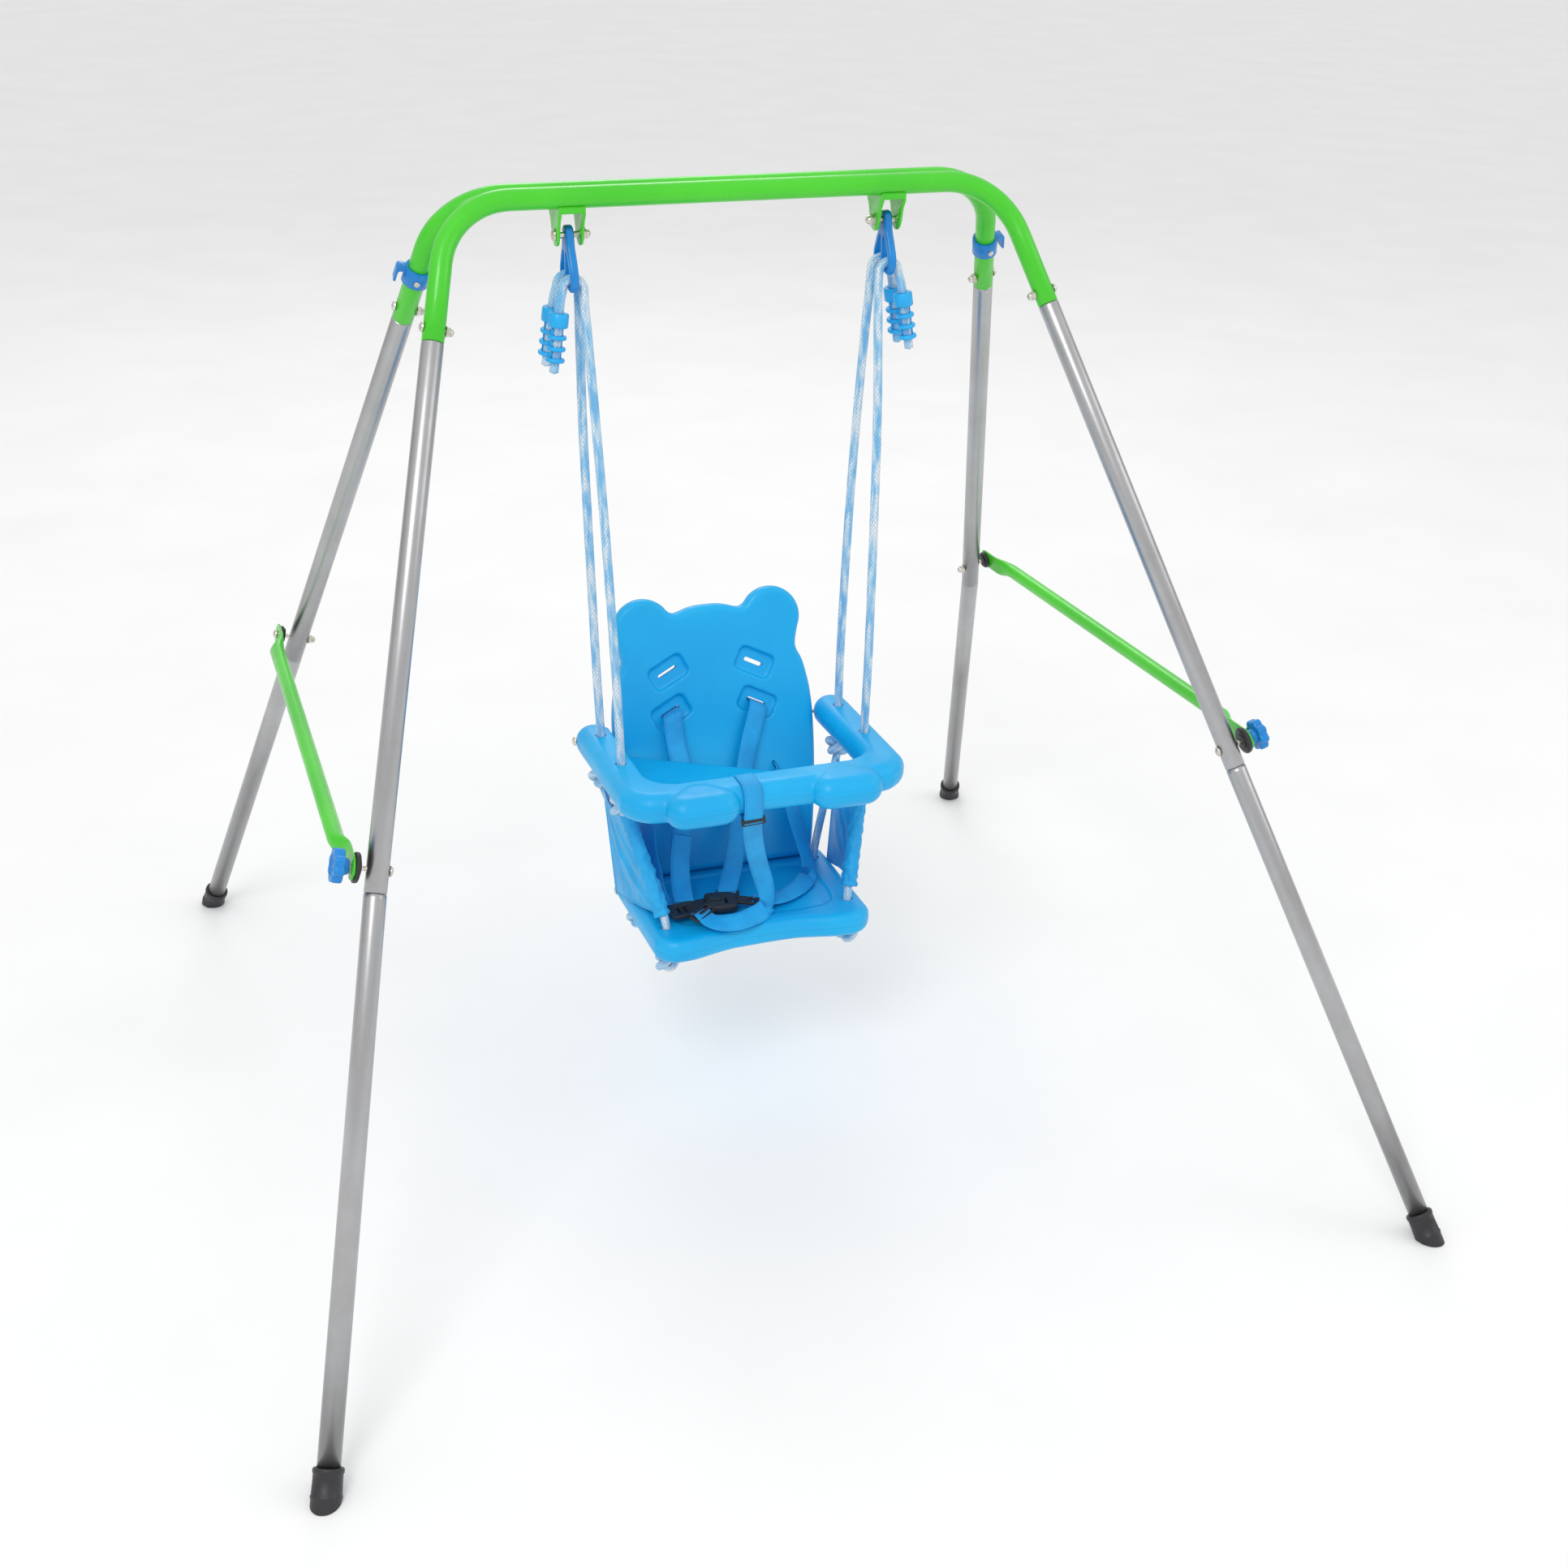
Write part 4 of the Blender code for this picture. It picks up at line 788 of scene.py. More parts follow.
def cap_nut(place, nut_r):
    """Washer, hexagon and dome of a nut, as separate meshes."""
    wide = nut_r * 1.06
    dome_r = nut_r * 0.84
    hexagon = [(0.0, 0.0006), (wide, 0.0006), (wide, 0.0044), (nut_r * 0.92, 0.005), (0.0, 0.005)]
    dome = [(0.0, 0.0045)]
    for angle in (0.0, 0.35, 0.7, 1.05, 1.35):
        dome.append((dome_r * math.cos(angle), 0.005 + dome_r * math.sin(angle)))
    dome.append((0.0, 0.005 + dome_r))
    return [cylinder(place, nut_r * 1.18, 0.0008, 28), lathe_mesh(hexagon, place, 6),
            lathe_mesh(dome, place, 24)]


def merged(meshes):
    """One mesh from several."""
    whole = bmesh.new()
    for mesh_builder in meshes:
        bmesh.ops.recalc_face_normals(mesh_builder, faces=mesh_builder.faces[:])
        copy = bpy.data.meshes.new("part")
        mesh_builder.to_mesh(copy)
        mesh_builder.free()
        whole.from_mesh(copy)
        bpy.data.meshes.remove(copy)
    return whole


def build_bolt(node_name, body, centre, direction, head_at, nut_at, radius=BOLT_R, head_r=BOLT_HEAD_R,
               nut_r=BOLT_NUT_R):
    """Bolt with its nut; both are placed by their distances from the centre."""
    direction = Vector(direction).normalized()
    centre = Vector(centre)
    foot = centre - direction * nut_at
    meshes = [bolt_head(axis_frame(centre + direction * head_at, direction), head_r)]
    meshes.append(cylinder(axis_frame(foot, direction), radius, head_at + nut_at))
    meshes += cap_nut(axis_frame(foot, -direction), nut_r)
    made = look(node_name, merged(meshes), "zinc_bolt", body)
    return sharpen(made, 0.00025, 2, 40.0)


def build_spacer(node_name, body, centre, direction, radius):
    """Dished spacer between the leg and the brace's flat end, with a stepped rim."""
    start = Vector(centre) + Vector(direction) * (STANDOFF - 0.0003 - SPACER_T)
    saddle = TUBE_R * 0.75
    profile = [(BOLT_HOLE_R, -0.001), (saddle, -0.001), (saddle, 0.0), (radius * 0.72, 0.0),
               (radius * 0.94, 0.001), (radius, 0.0022), (radius, SPACER_T - 0.0006),
               (radius - 0.0006, SPACER_T), (BOLT_HOLE_R, SPACER_T)]
    turned_mesh = lathe_mesh(profile, axis_frame(start, direction), 40, closed=True)
    made = look(node_name, turned_mesh, "black_plastic", body)
    return sharpen(made, 0.0003, 2, 40.0)


def build_frame(prefix, frame_side, body):
    build_u_tube(f"{prefix}_top_tube", frame_side, body)
    wall = TUBE_R + 0.0003
    for side_name, side in SIDES:
        build_leg(prefix, frame_side, side_name, side, body)
        out = outward(frame_side, side)
        leg_bolt = on_upper_leg(frame_side, side, frame_side["joint_z"] + LEG_BOLT_ABOVE)
        build_bolt(f"{prefix}_leg_bolt_{side_name}", body, leg_bolt, out, wall, wall)
        place = on_upper_leg(frame_side, side, BRACE_BOLT_Z)
        if frame_side is REAR:
            build_bolt(f"brace_pivot_bolt_{side_name}", body, place, out, STANDOFF + FLAT_T + 0.0006, wall)
            build_spacer(f"rear_brace_spacer_{side_name}", body, place, out, 0.012)
        else:
            build_lock_bolt(side_name, place, out, wall)
            build_spacer(f"front_brace_spacer_{side_name}", body, place, out, 0.017)


def build_lock_bolt(side_name, centre, out, wall):
    """Carriage bolt whose threaded end carries the hand knob."""
    head = axis_frame(centre - out * wall, -out)
    meshes = [lathe_mesh([(0.0, 0.0), (0.0062, 0.0), (0.006, 0.0016), (0.0046, 0.003), (0.0022, 0.0038),
                          (0.0, 0.004)], head, 28)]
    start = centre - out * wall
    length = wall + STANDOFF + FLAT_T + KNOB_GAP + 0.013
    profile = [(0.0, 0.0), (BOLT_R, 0.0), (BOLT_R, STANDOFF)]
    pitch = 0.001
    at = STANDOFF
    while at < length - 2.0 * pitch:
        profile += [(0.0026, at + 0.5 * pitch), (BOLT_R, at + pitch)]
        at += pitch
    profile += [(0.0026, length), (0.0, length)]
    meshes.append(lathe_mesh(profile, axis_frame(start, out), 20))
    name = f"brace_lock_bolt_{side_name}"
    return look(name, merged(meshes), "zinc_bolt", "front_frame")


# ------------------------------------------------------------------ braces and knobs
def brace_loop(centre, along, across, half_width, half_depth, squareness):
    count = 32
    points = []
    for index in range(count):
        angle = 2.0 * math.pi * (index + 0.5) / count
        width = half_width * math.copysign(abs(math.cos(angle)) ** squareness, math.cos(angle))
        depth = half_depth * math.copysign(abs(math.sin(angle)) ** squareness, math.sin(angle))
        points.append(centre + along * width + across * depth)
    return points


def brace_sections(length):
    """Distance from the rear bolt, half width, half depth and squareness of each section."""
    tip = 0.015
    flat = 0.5 * FLAT_T
    ends = []
    for angle_deg in (86.0, 72.0, 58.0, 42.0, 24.0, 0.0):
        angle = math.radians(angle_deg)
        ends.append((tip * math.sin(angle), max(FLAT_HALF * math.cos(angle), 0.0012), flat, 0.35))
    sections = [(-reach, half, deep, square) for reach, half, deep, square in ends]
    press = ((0.03, 0.014, 0.0015, 0.35), (0.037, 0.0139, 0.002, 0.42), (0.044, 0.0134, 0.0036, 0.62),
             (0.052, 0.0124, 0.0058, 0.82), (0.06, 0.011, 0.008, 0.95), (0.07, BRACE_R, BRACE_R, 1.0))
    sections += list(press)
    sections += [(length - reach, half, deep, square) for reach, half, deep, square in reversed(press)]
    sections += [(length + reach, half, deep, square) for reach, half, deep, square in reversed(ends)]
    return sections


def hook_slot(place):
    """Cutter of the brace's open hook: a hole that runs out down and rearwards."""
    half = 0.0036
    way = Vector((-0.474, -0.881))
    side = Vector((-way.y, way.x))
    far = way * 0.03
    outline = [(half * side.x, half * side.y), (far.x + half * side.x, far.y + half * side.y)]
    outline += [(far.x - half * side.x, far.y - half * side.y), (-half * side.x, -half * side.y)]
    start = math.degrees(math.atan2(-side.y, -side.x))
    outline += arc((0.0, 0.0), half, start - 10.0, start - 170.0, 12)
    loops = [[place @ Vector((u, v, height)) for u, v in outline] for height in (0.0, 0.06)]
    return loose("slot_tool", skin(loops))


def build_brace(side_name, side):
    rear = on_upper_leg(REAR, side, BRACE_BOLT_Z)
    front = on_upper_leg(FRONT, side, BRACE_BOLT_Z)
    out = outward(REAR, side)
    run = (front + outward(FRONT, side) * STANDOFF - rear - out * STANDOFF)
    length = run.length
    run.normalize()
    rise = out.cross(run)
    if rise.z < 0.0:
        rise = -rise
    loops = []
    for reach, half, deep, square in brace_sections(length):
        centre = rear + out * (STANDOFF + deep) + run * reach
        loops.append(brace_loop(centre, rise, out, half, deep, square))
    name = f"brace_{side_name}"
    made = look(name, skin(loops), "green_paint", name)
    slot_frame = axes_frame(run, rise, out, rear + run * length)
    boolean(made, [hook_slot(slot_frame), rod("rear_tool", rear, rear + out * 0.06, BOLT_HOLE_R, 20)],
            "DIFFERENCE")
    return sharpen(made, 0.0003, 2, 50.0)


def build_knob(side_name, side):
    """Hand knob: eight soft lobes, a dished face, a metal bush and a hub towards the brace."""
    out = outward(FRONT, side)
    start = on_upper_leg(FRONT, side, BRACE_BOLT_Z) + out * (STANDOFF + FLAT_T + KNOB_GAP)
    place = axis_frame(start, out)
    outline = []
    count = 96
    for index in range(count):
        angle = 2.0 * math.pi * index / count
        wave = 0.5 + 0.5 * math.cos(8.0 * angle)
        radius = KNOB_R - 0.003 + 0.003 * wave ** 0.6
        outline.append((radius * math.cos(angle), radius * math.sin(angle)))
    body_mesh = slab_mesh(outline, KNOB_LENGTH - 0.006, 0.003, place @ shift(0, 0, 0.006), 4)
    name = f"knob_{side_name}"
    made = look(name, body_mesh, "blue_plastic", name)
    hub = [(0.0, 0.0), (0.0082, 0.0), (0.0088, 0.0008), (0.0105, 0.008), (0.0, 0.008)]
    boolean(made, [loose("hub", lathe_mesh(hub, place, 32))], "UNION")
    dish = [(0.0, 0.0135), (0.0075, 0.0135), (0.0082, 0.015), (0.011, 0.0158), (0.014, 0.0176),
            (0.0146, 0.02), (0.0, 0.02)]
    bore = rod("bore", start - out * 0.01, start + out * 0.0128, BOLT_HOLE_R, 24)
    boolean(made, [loose("dish", lathe_mesh(dish, place, 40)), bore], "DIFFERENCE")
    sharpen(made, 0.0005, 2, 40.0)
    bush = [(0.0, 0.0124), (0.0052, 0.0124), (0.0052, 0.0144), (0.0046, 0.015), (0.0, 0.015)]
    return publish(name + "_bush", lathe_mesh(bush, place, 24), "zinc_bolt", name)


# ------------------------------------------------------------------ hangers and hooks
def build_hanger(side_name, side):
    """Clevis under the two bars: pressed ears, a base plate and a saddle under the front bar."""
    name = f"hanger_bracket_{side_name}"
    centre_x = side * HANGER_X
    plate_low = BAR_Z - TUBE_R - 0.0045
    plate = [(-EAR_X, -0.0245), (EAR_X, -0.0245), (EAR_X, 0.0245), (-EAR_X, 0.0245)]
    place = shift(centre_x, 0.0, plate_low)
    made = loose(name + "_look", slab_mesh(plate, 0.0085, 0.0004, place, 1))
    ear_top = BAR_Z - TUBE_R + 0.003
    ear = arc((0.0, PIN_Z), 0.0125, 205.0, 335.0, 16)
    ear += [(0.0135, PIN_Z - 0.001), (0.0185, PIN_Z + 0.016), (0.025, plate_low - 0.002), (0.025, ear_top)]
    ear += [(-0.025, ear_top), (-0.025, plate_low - 0.002), (-0.0185, PIN_Z + 0.016),
            (-0.0135, PIN_Z - 0.001)]
    ears = []
    for offset in (-EAR_X, EAR_X):
        low = centre_x + offset - 0.5 * EAR_T
        ears.append(loose("ear", slab_mesh(ear, EAR_T, 0.0004, sideways(low), 1)))
    boolean(made, ears, "UNION")
    reach = Vector((0.03, 0.0, 0.0))
    half = Vector((EAR_X - 0.001, 0.0, 0.0))
    rear_bar = Vector((centre_x, BAR_Y, BAR_Z))
    front_bar = Vector((centre_x, -BAR_Y, BAR_Z))
    pin = Vector((centre_x, 0.0, PIN_Z))
    boolean(made, [rod("rear_bar", rear_bar - reach, rear_bar + reach, TUBE_R + 0.0002)], "DIFFERENCE")
    saddle = arc((-BAR_Y, BAR_Z), TUBE_R + 0.0014, 220.0, 330.0, 18)
    low = centre_x - half.x
    shape = slab_mesh(saddle, 2.0 * half.x, 0.0003, sideways(low), 1)
    boolean(made, [loose("saddle", shape)], "UNION")
    boolean(made, [rod("front_bar", front_bar - reach, front_bar + reach, TUBE_R + 0.0002)], "DIFFERENCE")
    finish_piece(made, "green_paint", "rear_frame", (name,))
    sharpen(made, 0.0005, 2, 50.0)
    head_at = EAR_X + 0.5 * EAR_T + 0.0003
    build_bolt(f"hanger_pin_{side_name}", "rear_frame", pin, (side, 0, 0), head_at, head_at, 0.004,
               0.0072, 0.0068)


def build_hook(side_name, side):
    """Moulded teardrop hook: a rounded rim and a middle rib, with a rope eye on each side of the rib."""
    name = f"rope_hook_{side_name}"
    centre_x = side * HANGER_X
    half = [(0.0, -0.058), (0.0065, -0.0612)]
    half += arc((EYE_Y, -0.0485), 0.0145, -78.0, 12.0, 10)
    half += [(0.0262, -0.038), (0.0195, -0.024), (0.013, -0.012), (0.0108, -0.002), (0.0085, 0.007),
             (0.0045, 0.0104), (0.0, 0.0112)]
    outline = [(u, v + PIN_Z) for u, v in dense_outline(mirrored(half), 0.002)]
    low = centre_x - 0.5 * HOOK_T
    made = loose(name + "_look", slab_mesh(outline, HOOK_T, 0.003, sideways(low), 5))
    opening = [(0.0022, -0.049), (0.0022, -0.025), (0.0045, -0.018), (0.0085, -0.019), (0.014, -0.028),
               (0.02, -0.039), (0.0216, -0.047), (0.0198, -0.053), (0.015, -0.0562), (0.009, -0.056),
               (0.004, -0.0535)]
    tools = []
    for depth in (-1.0, 1.0):
        shape = [(depth * u, v + PIN_Z) for u, v in opening]
        if depth > 0.0:
            shape.reverse()
        lower = sideways(low - 0.01)
        tools.append(prism("opening", dense_outline(shape[::-1], 0.0015), HOOK_T + 0.02, lower))
    pin = Vector((centre_x, 0.0, PIN_Z))
    reach = Vector((0.02, 0.0, 0.0))
    tools.append(rod("pin_eye", pin - reach, pin + reach, 0.0044, 28))
    boolean(made, tools, "DIFFERENCE")
    finish_piece(made, "blue_plastic", "swing", (name,))
    return sharpen(made, 0.001, 3, 40.0)


def build_storage_hook(side_name, side):
    """Collar on the rear green tube with a turned-down hook and its clamping screw."""
    name = f"storage_hook_{side_name}"
    centre = on_upper_leg(REAR, side, STORAGE_HOOK_Z)
    up = leg_up(REAR, side)
    out = outward(REAR, side)
    half = 0.011
    inner = TUBE_R + 0.0002
    outer = TUBE_R + 0.0032
    profile = [(inner, -half), (outer - 0.0006, -half), (outer, -half + 0.0006), (outer, half - 0.0006),
               (outer - 0.0006, half), (inner, half)]
    made = loose(name + "_look", lathe_mesh(profile, axis_frame(centre, up, out), 48, closed=True))
    hook_frame = axes_frame(out, up, out.cross(up), centre)
    tip = STANDOFF - 0.001
    outline = [(outer - 0.0015, 0.0095), (outer - 0.0015, 0.002), (tip - 0.0065, 0.0035),
               (tip - 0.004, 0.0025), (tip - 0.003, 0.0), (tip - 0.003, -0.011), (tip - 0.0015, -0.0122),
               (tip, -0.011), (tip, 0.006), (tip - 0.0012, 0.0085), (tip - 0.0035, 0.0095)]
    if hook_frame.to_3x3().determinant() < 0.0:
        outline.reverse()
    arm = loose("arm", slab_mesh(outline, 0.012, 0.0004, hook_frame @ shift(0, 0, -0.006), 1))
    boolean(made, [arm], "UNION")
    finish_piece(made, "blue_plastic", "rear_frame", (name,))
    sharpen(made, 0.0005, 2, 45.0)
    towards = out.cross(up).normalized()
    front = towards if towards.y < 0.0 else -towards
    screw = axis_frame(centre + front * (outer - 0.0002) + up * -0.002, front)
    head = [(0.0, 0.0), (0.0036, 0.0), (0.0036, 0.0012), (0.0026, 0.0022), (0.0, 0.0024)]
    return publish(name + "_screw", lathe_mesh(head, screw, 24), "zinc_bolt", "rear_frame")


# ------------------------------------------------------------------ ropes
def rope_route(side, row):
    """Points from the knot under the base up to the hook, over its eye and down the tail."""
    depth = -1.0 if row == "front" else 1.0
    base_x, base_y = BASE_ROPES[row]
    bar_x, bar_y = BAR_ROPES[row]
    rim_z = PIN_Z - EYE_DOWN - EYE_R - 0.00325
    hook_x = HANGER_X
    eye_y = depth * EYE_Y
    points = [
        (base_x, base_y, BASE_LOW - 0.026), (base_x, base_y, BASE_LOW - 0.008),
        (base_x, base_y, BASE_LOW + 0.01), (base_x, base_y, BASE_TOP + 0.008),
        (0.75 * base_x + 0.25 * bar_x, 0.75 * base_y + 0.25 * bar_y, 0.325),
        (0.35 * base_x + 0.65 * bar_x, 0.35 * base_y + 0.65 * bar_y, 0.378),
        (bar_x, bar_y, BAR_BOTTOM - 0.03), (bar_x, bar_y, BAR_BOTTOM - 0.014),
        (bar_x, bar_y, BAR_BOTTOM + 0.01), (bar_x, bar_y, BAR_BOTTOM + BAR_T + 0.006),
        (0.168, 1.02 * bar_y, 0.6), (0.173, 0.9 * bar_y, 0.76), (0.178, 0.7 * bar_y, 0.9),
        (0.181, 0.45 * bar_y, 1.0), (hook_x - ROPE_LOOP_R - 0.001, 1.1 * eye_y, 1.05),
    ]
    for angle in range(0, 181, 30):
        turn = math.radians(angle)
        points.append((hook_x - ROPE_LOOP_R * math.cos(turn), eye_y, rim_z + ROPE_LOOP_R * math.sin(turn)))
    tail_top = Vector((hook_x + ROPE_LOOP_R + 0.004, 1.15 * eye_y, 1.06))
    tail_end = Vector((hook_x + ROPE_LOOP_R + 0.015, 1.45 * eye_y, 0.984))
    points += [tail_top.lerp(tail_end, share) for share in (0.0, 0.33, 0.72, 1.0)]
    return [Vector((side * x, y, z)) for x, y, z in points]


def rope_mesh(points, radii, sides, v_start=0.0):
    """Closed tube with the coordinates that the braid follows: around, and metres along."""
    marks = [(index / sides, (index + 1) / sides) for index in range(sides)]
    lengths = running_lengths(points, v_start)
    mesh_builder, rings = woven_skin("braid", tube_loops(points, radii, sides), marks, lengths)
    for end, tip, inside in ((rings[0], points[0], points[1]), (rings[-1], points[-1], points[-2])):
        top = mesh_builder.verts.new(tip + (tip - inside).normalized() * radii[0] * 0.45)
        for index in range(sides):
            mesh_builder.faces.new((end[index], end[(index + 1) % sides], top))
    return mesh_builder


def knot_mesh(centre, size, turn_deg):
    """Overhand knot pulled tight: a three-lobed closed turn of the same rope."""
    points = []
    count = 72
    for index in range(count + 1):
        t = 2.0 * math.pi * index / count
        radius = size * (1.0 + 0.42 * math.cos(3.0 * t))
        swing_angle = 2.0 * t + math.radians(turn_deg)
        points.append(centre + Vector((radius * math.cos(swing_angle), radius * math.sin(swing_angle),
                                       0.8 * size * math.sin(3.0 * t))))
    return rope_mesh(points, [0.95 * ROPE_R] * len(points), 14)


def build_rope(side_name, side, row):
    route = rope_route(side, row)
    line = even_points(smooth_curve(route, 10), 0.0035)
    name = f"rope_{side_name}_{row}"
    radii = [ROPE_R] * len(line)
    braid_start = 0.37 * side + 0.11 * len(row)
    made = look(name, rope_mesh(line, radii, 18, braid_start), "rope", "swing")
    for mark, base_point, size in (("lower", route[0] + Vector((0, 0, 0.01)), 0.008),
                                   ("upper", route[7] + Vector((0, 0, -0.004)), 0.0094)):
        mesh_builder = knot_mesh(base_point, size, 40.0 * side + (25.0 if row == "front" else 80.0))
        publish(f"{name}_{mark}_knot", mesh_builder, "rope", "swing")
    build_adjuster(side_name, side, row)
    return made


def build_adjuster(side_name, side, row):
    """Moulded rope adjuster on the rope's tail: a collar and three discs tied by two thin rails."""
    route = rope_route(side, row)
    low = route[-1]
    high = route[-4]
    bore = ROPE_R + 0.0001
    disc = 0.0112
    place = axis_frame(low.lerp(high, 0.16), high - low)
    meshes = []
    for height in (0.0, 0.013, 0.026):
        meshes.append(lathe_mesh([(bore, height - 0.0004), (disc - 0.001, height - 0.0004),
                                  (disc, height + 0.0008), (disc, height + 0.0032),
                                  (disc - 0.001, height + 0.0044), (bore, height + 0.0044)], place, 32,
                                 closed=True))
    meshes.append(lathe_mesh([(bore, 0.0392), (0.0106, 0.0392), (0.0118, 0.0404), (0.0118, 0.0546),
                              (0.0106, 0.056), (bore, 0.056)], place, 32, closed=True))
    for turn in (-1.0, 1.0):
        rail = place @ shift(turn * (ROPE_R + 0.001), 0.0, 0.0006)
        meshes.append(slab_mesh(rectangle(0.0009, 0.0016, 0.0004, 2), 0.04, 0.0002, rail, 1))
    name = f"rope_adjuster_{side_name}_{row}"
    return look(name, merged(meshes), "adjuster_plastic", "swing")


# ------------------------------------------------------------------ seat mouldings
def drill_rope_holes(made, places, low, high):
    """Through holes for the ropes on both sides, from below one height to above another."""
    drills = []
    for _, side in SIDES:
        for hole_x, hole_y in places.values():
            start = (side * hole_x, hole_y, low - DRILL_PAST)
            drills.append(rod("drill", start, (side * hole_x, hole_y, high + DRILL_PAST), ROPE_HOLE_R))
    boolean(made, drills, "DIFFERENCE")


def bar_outline():
    """Guard bar seen from above, without its paws."""
    half = [(0.0, -0.17), (0.06, -0.1705), (0.12, -0.168)]
    half += arc((0.14, -0.116), 0.05, 290.0, 352.0, 6)
    half += [(0.19, -0.06), (0.19, 0.02)]
    half += arc((0.166, 0.076), 0.024, 0.0, 180.0, 9)
    half += [(0.142, 0.02), (0.142, -0.05)]
    half += arc((0.108, -0.086), 0.034, 0.0, -90.0, 6)
    half += [(0.05, -0.121), (0.0, -0.121)]
    return mirrored(half)


def paw_outline(side):
    """Rounded paw on the front of the guard bar."""
    points = arc((0.117, -0.1665), 0.0255, -80.0, 50.0, 7)
    points += [(0.113, -0.128), (0.095, -0.124), (0.077, -0.128)]
    points += arc((0.073, -0.1665), 0.0255, 130.0, 260.0, 7) + [(0.095, -0.1925)]
    if side < 0.0:
        points = [(-u, v) for u, v in reversed(points)]
    return points


def build_guard_bar():
    place = shift(0.0, 0.0, BAR_BOTTOM)
    shapes = [slab_mesh(dense_outline(bar_outline(), 0.004), BAR_T, 0.018, place, 8)]
    for _, side in SIDES:
        outline = dense_outline(paw_outline(side), 0.003)
        lower = shift(0.0, 0.0, BAR_BOTTOM - 0.002)
        shapes.append(slab_mesh(outline, BAR_T + 0.003, 0.0205, lower, 9))
    made = remesh(loose("guard_bar_look", merged(shapes)), SKIN_VOXEL, 9)
    drill_rope_holes(made, BAR_ROPES, BAR_BOTTOM, BAR_BOTTOM + BAR_T)
    return finish_piece(made, "seat_plastic", "swing", ("guard_bar",))


def back_outline():
    """Seat back: rounded body with a domed top between two round ears, foot at v = 0."""
    half = [(0.0, 0.0), (0.06, 0.0), (0.112, 0.0), (0.123, 0.004), (0.127, 0.014), (0.133, 0.06),
            (0.138, 0.12), (0.14, 0.18), (0.138, 0.23), (0.13, 0.27), (0.121, 0.292)]
    half += arc((0.088, 0.334), 0.041, -25.0, 148.0, 14)
    half += [(0.044, 0.352), (0.022, 0.358), (0.0, 0.3595)]
    return mirrored(half)


def back_place():
    """Local X across, local Y up the back, local Z towards the rear."""
    lean = Matrix.Rotation(-BACK_LEAN, 4, "X")
    upright = Matrix(((1, 0, 0, 0), (0, 0, 1, 0), (0, 1, 0, 0), (0, 0, 0, 1)))
    return shift(0.0, BACK_FOOT_Y, BACK_FOOT_Z) @ lean @ upright


def turned(place, centre, tilt_deg):
    return place @ shift(centre[0], centre[1], 0.0) @ Matrix.Rotation(math.radians(tilt_deg), 4, "Z")


def rectangle(half_u, half_v, radius, steps=5):
    """Rounded rectangle outline, anticlockwise."""
    points = []
    for sign_u, sign_v, start in ((1, 1, 0.0), (-1, 1, 90.0), (-1, -1, 180.0), (1, -1, 270.0)):
        centre = (sign_u * (half_u - radius), sign_v * (half_v - radius))
        points += arc(centre, radius, start, start + 90.0, steps)
    return points


def build_back():
    place = back_place()
    outline = dense_outline(back_outline(), 0.004)
    made = loose("seat_back_look", slab_mesh(outline, BACK_T, 0.0085, place, 6))
    pockets = []
    slots = []
    for _, side in SIDES:
        for centre_v in (0.276, 0.222):
            spot = turned(place, (side * 0.06, centre_v), -27.0 * side)
            for low in (-0.013, BACK_T - 0.0062):
                lower = spot @ shift(0.0, 0.0, low)
                pocket = slab_mesh(rectangle(0.0262, 0.0165, 0.0085), 0.0192, 0.004, lower, 4)
                pockets.append(loose("pocket", pocket))
            lower = spot @ shift(0.0, 0.0, -0.02)
            slots.append(prism("slot", rectangle(0.014, 0.0027, 0.0022, 3), 0.06, lower))
    for slot_u in (-0.1, 0.083):
        tilt_deg = -62.0 if slot_u > 0.0 else 62.0
        lower = turned(place, (slot_u, 0.1265), tilt_deg) @ shift(0.0, 0.0, -0.02)
        slots.append(prism("slot", rectangle(0.014, 0.002, 0.0018, 3), 0.06, lower))
    boolean(made, pockets, "DIFFERENCE")
    remesh(made, SKIN_VOXEL, 4)
    boolean(made, slots, "DIFFERENCE")
    return finish_piece(made, "seat_back_plastic", "swing", ("seat_back",))


def base_outline():
    """Seat base from above: rounded corners and a shallow wave along the front edge."""
    half = [(0.0, -0.132), (0.04, -0.133), (0.07, -0.139), (0.096, -0.1455)]
    half += arc((0.116, -0.115), 0.032, -85.0, -5.0, 7)
    half += [(0.148, -0.06), (0.148, 0.0)]
    half += arc((0.126, 0.052), 0.022, 0.0, 90.0, 6)
    half += [(0.06, 0.074), (0.0, 0.074)]
    return mirrored(half)


def build_base():
    place = shift(0.0, 0.0, BASE_LOW)
    made = loose("seat_base_look", slab_mesh(dense_outline(base_outline(), 0.004), BASE_T, 0.013, place, 7))
    hollow = [(0.0, -0.108), (0.06, -0.11), (0.098, -0.104), (0.112, -0.08), (0.114, -0.03), (0.108, 0.012),
              (0.09, 0.026), (0.0, 0.028)]
    lower = shift(0.0, 0.0, BASE_TOP - 0.0022)
    dish = slab_mesh(dense_outline(mirrored(hollow), 0.005), 0.02, 0.006, lower, 4)
    boolean(made, [loose("dish", dish)], "DIFFERENCE")
    remesh(made, BASE_VOXEL, 6)
    drill_rope_holes(made, BASE_ROPES, BASE_LOW, BASE_TOP)
    return finish_piece(made, "seat_base_plastic", "swing", ("seat_base",))


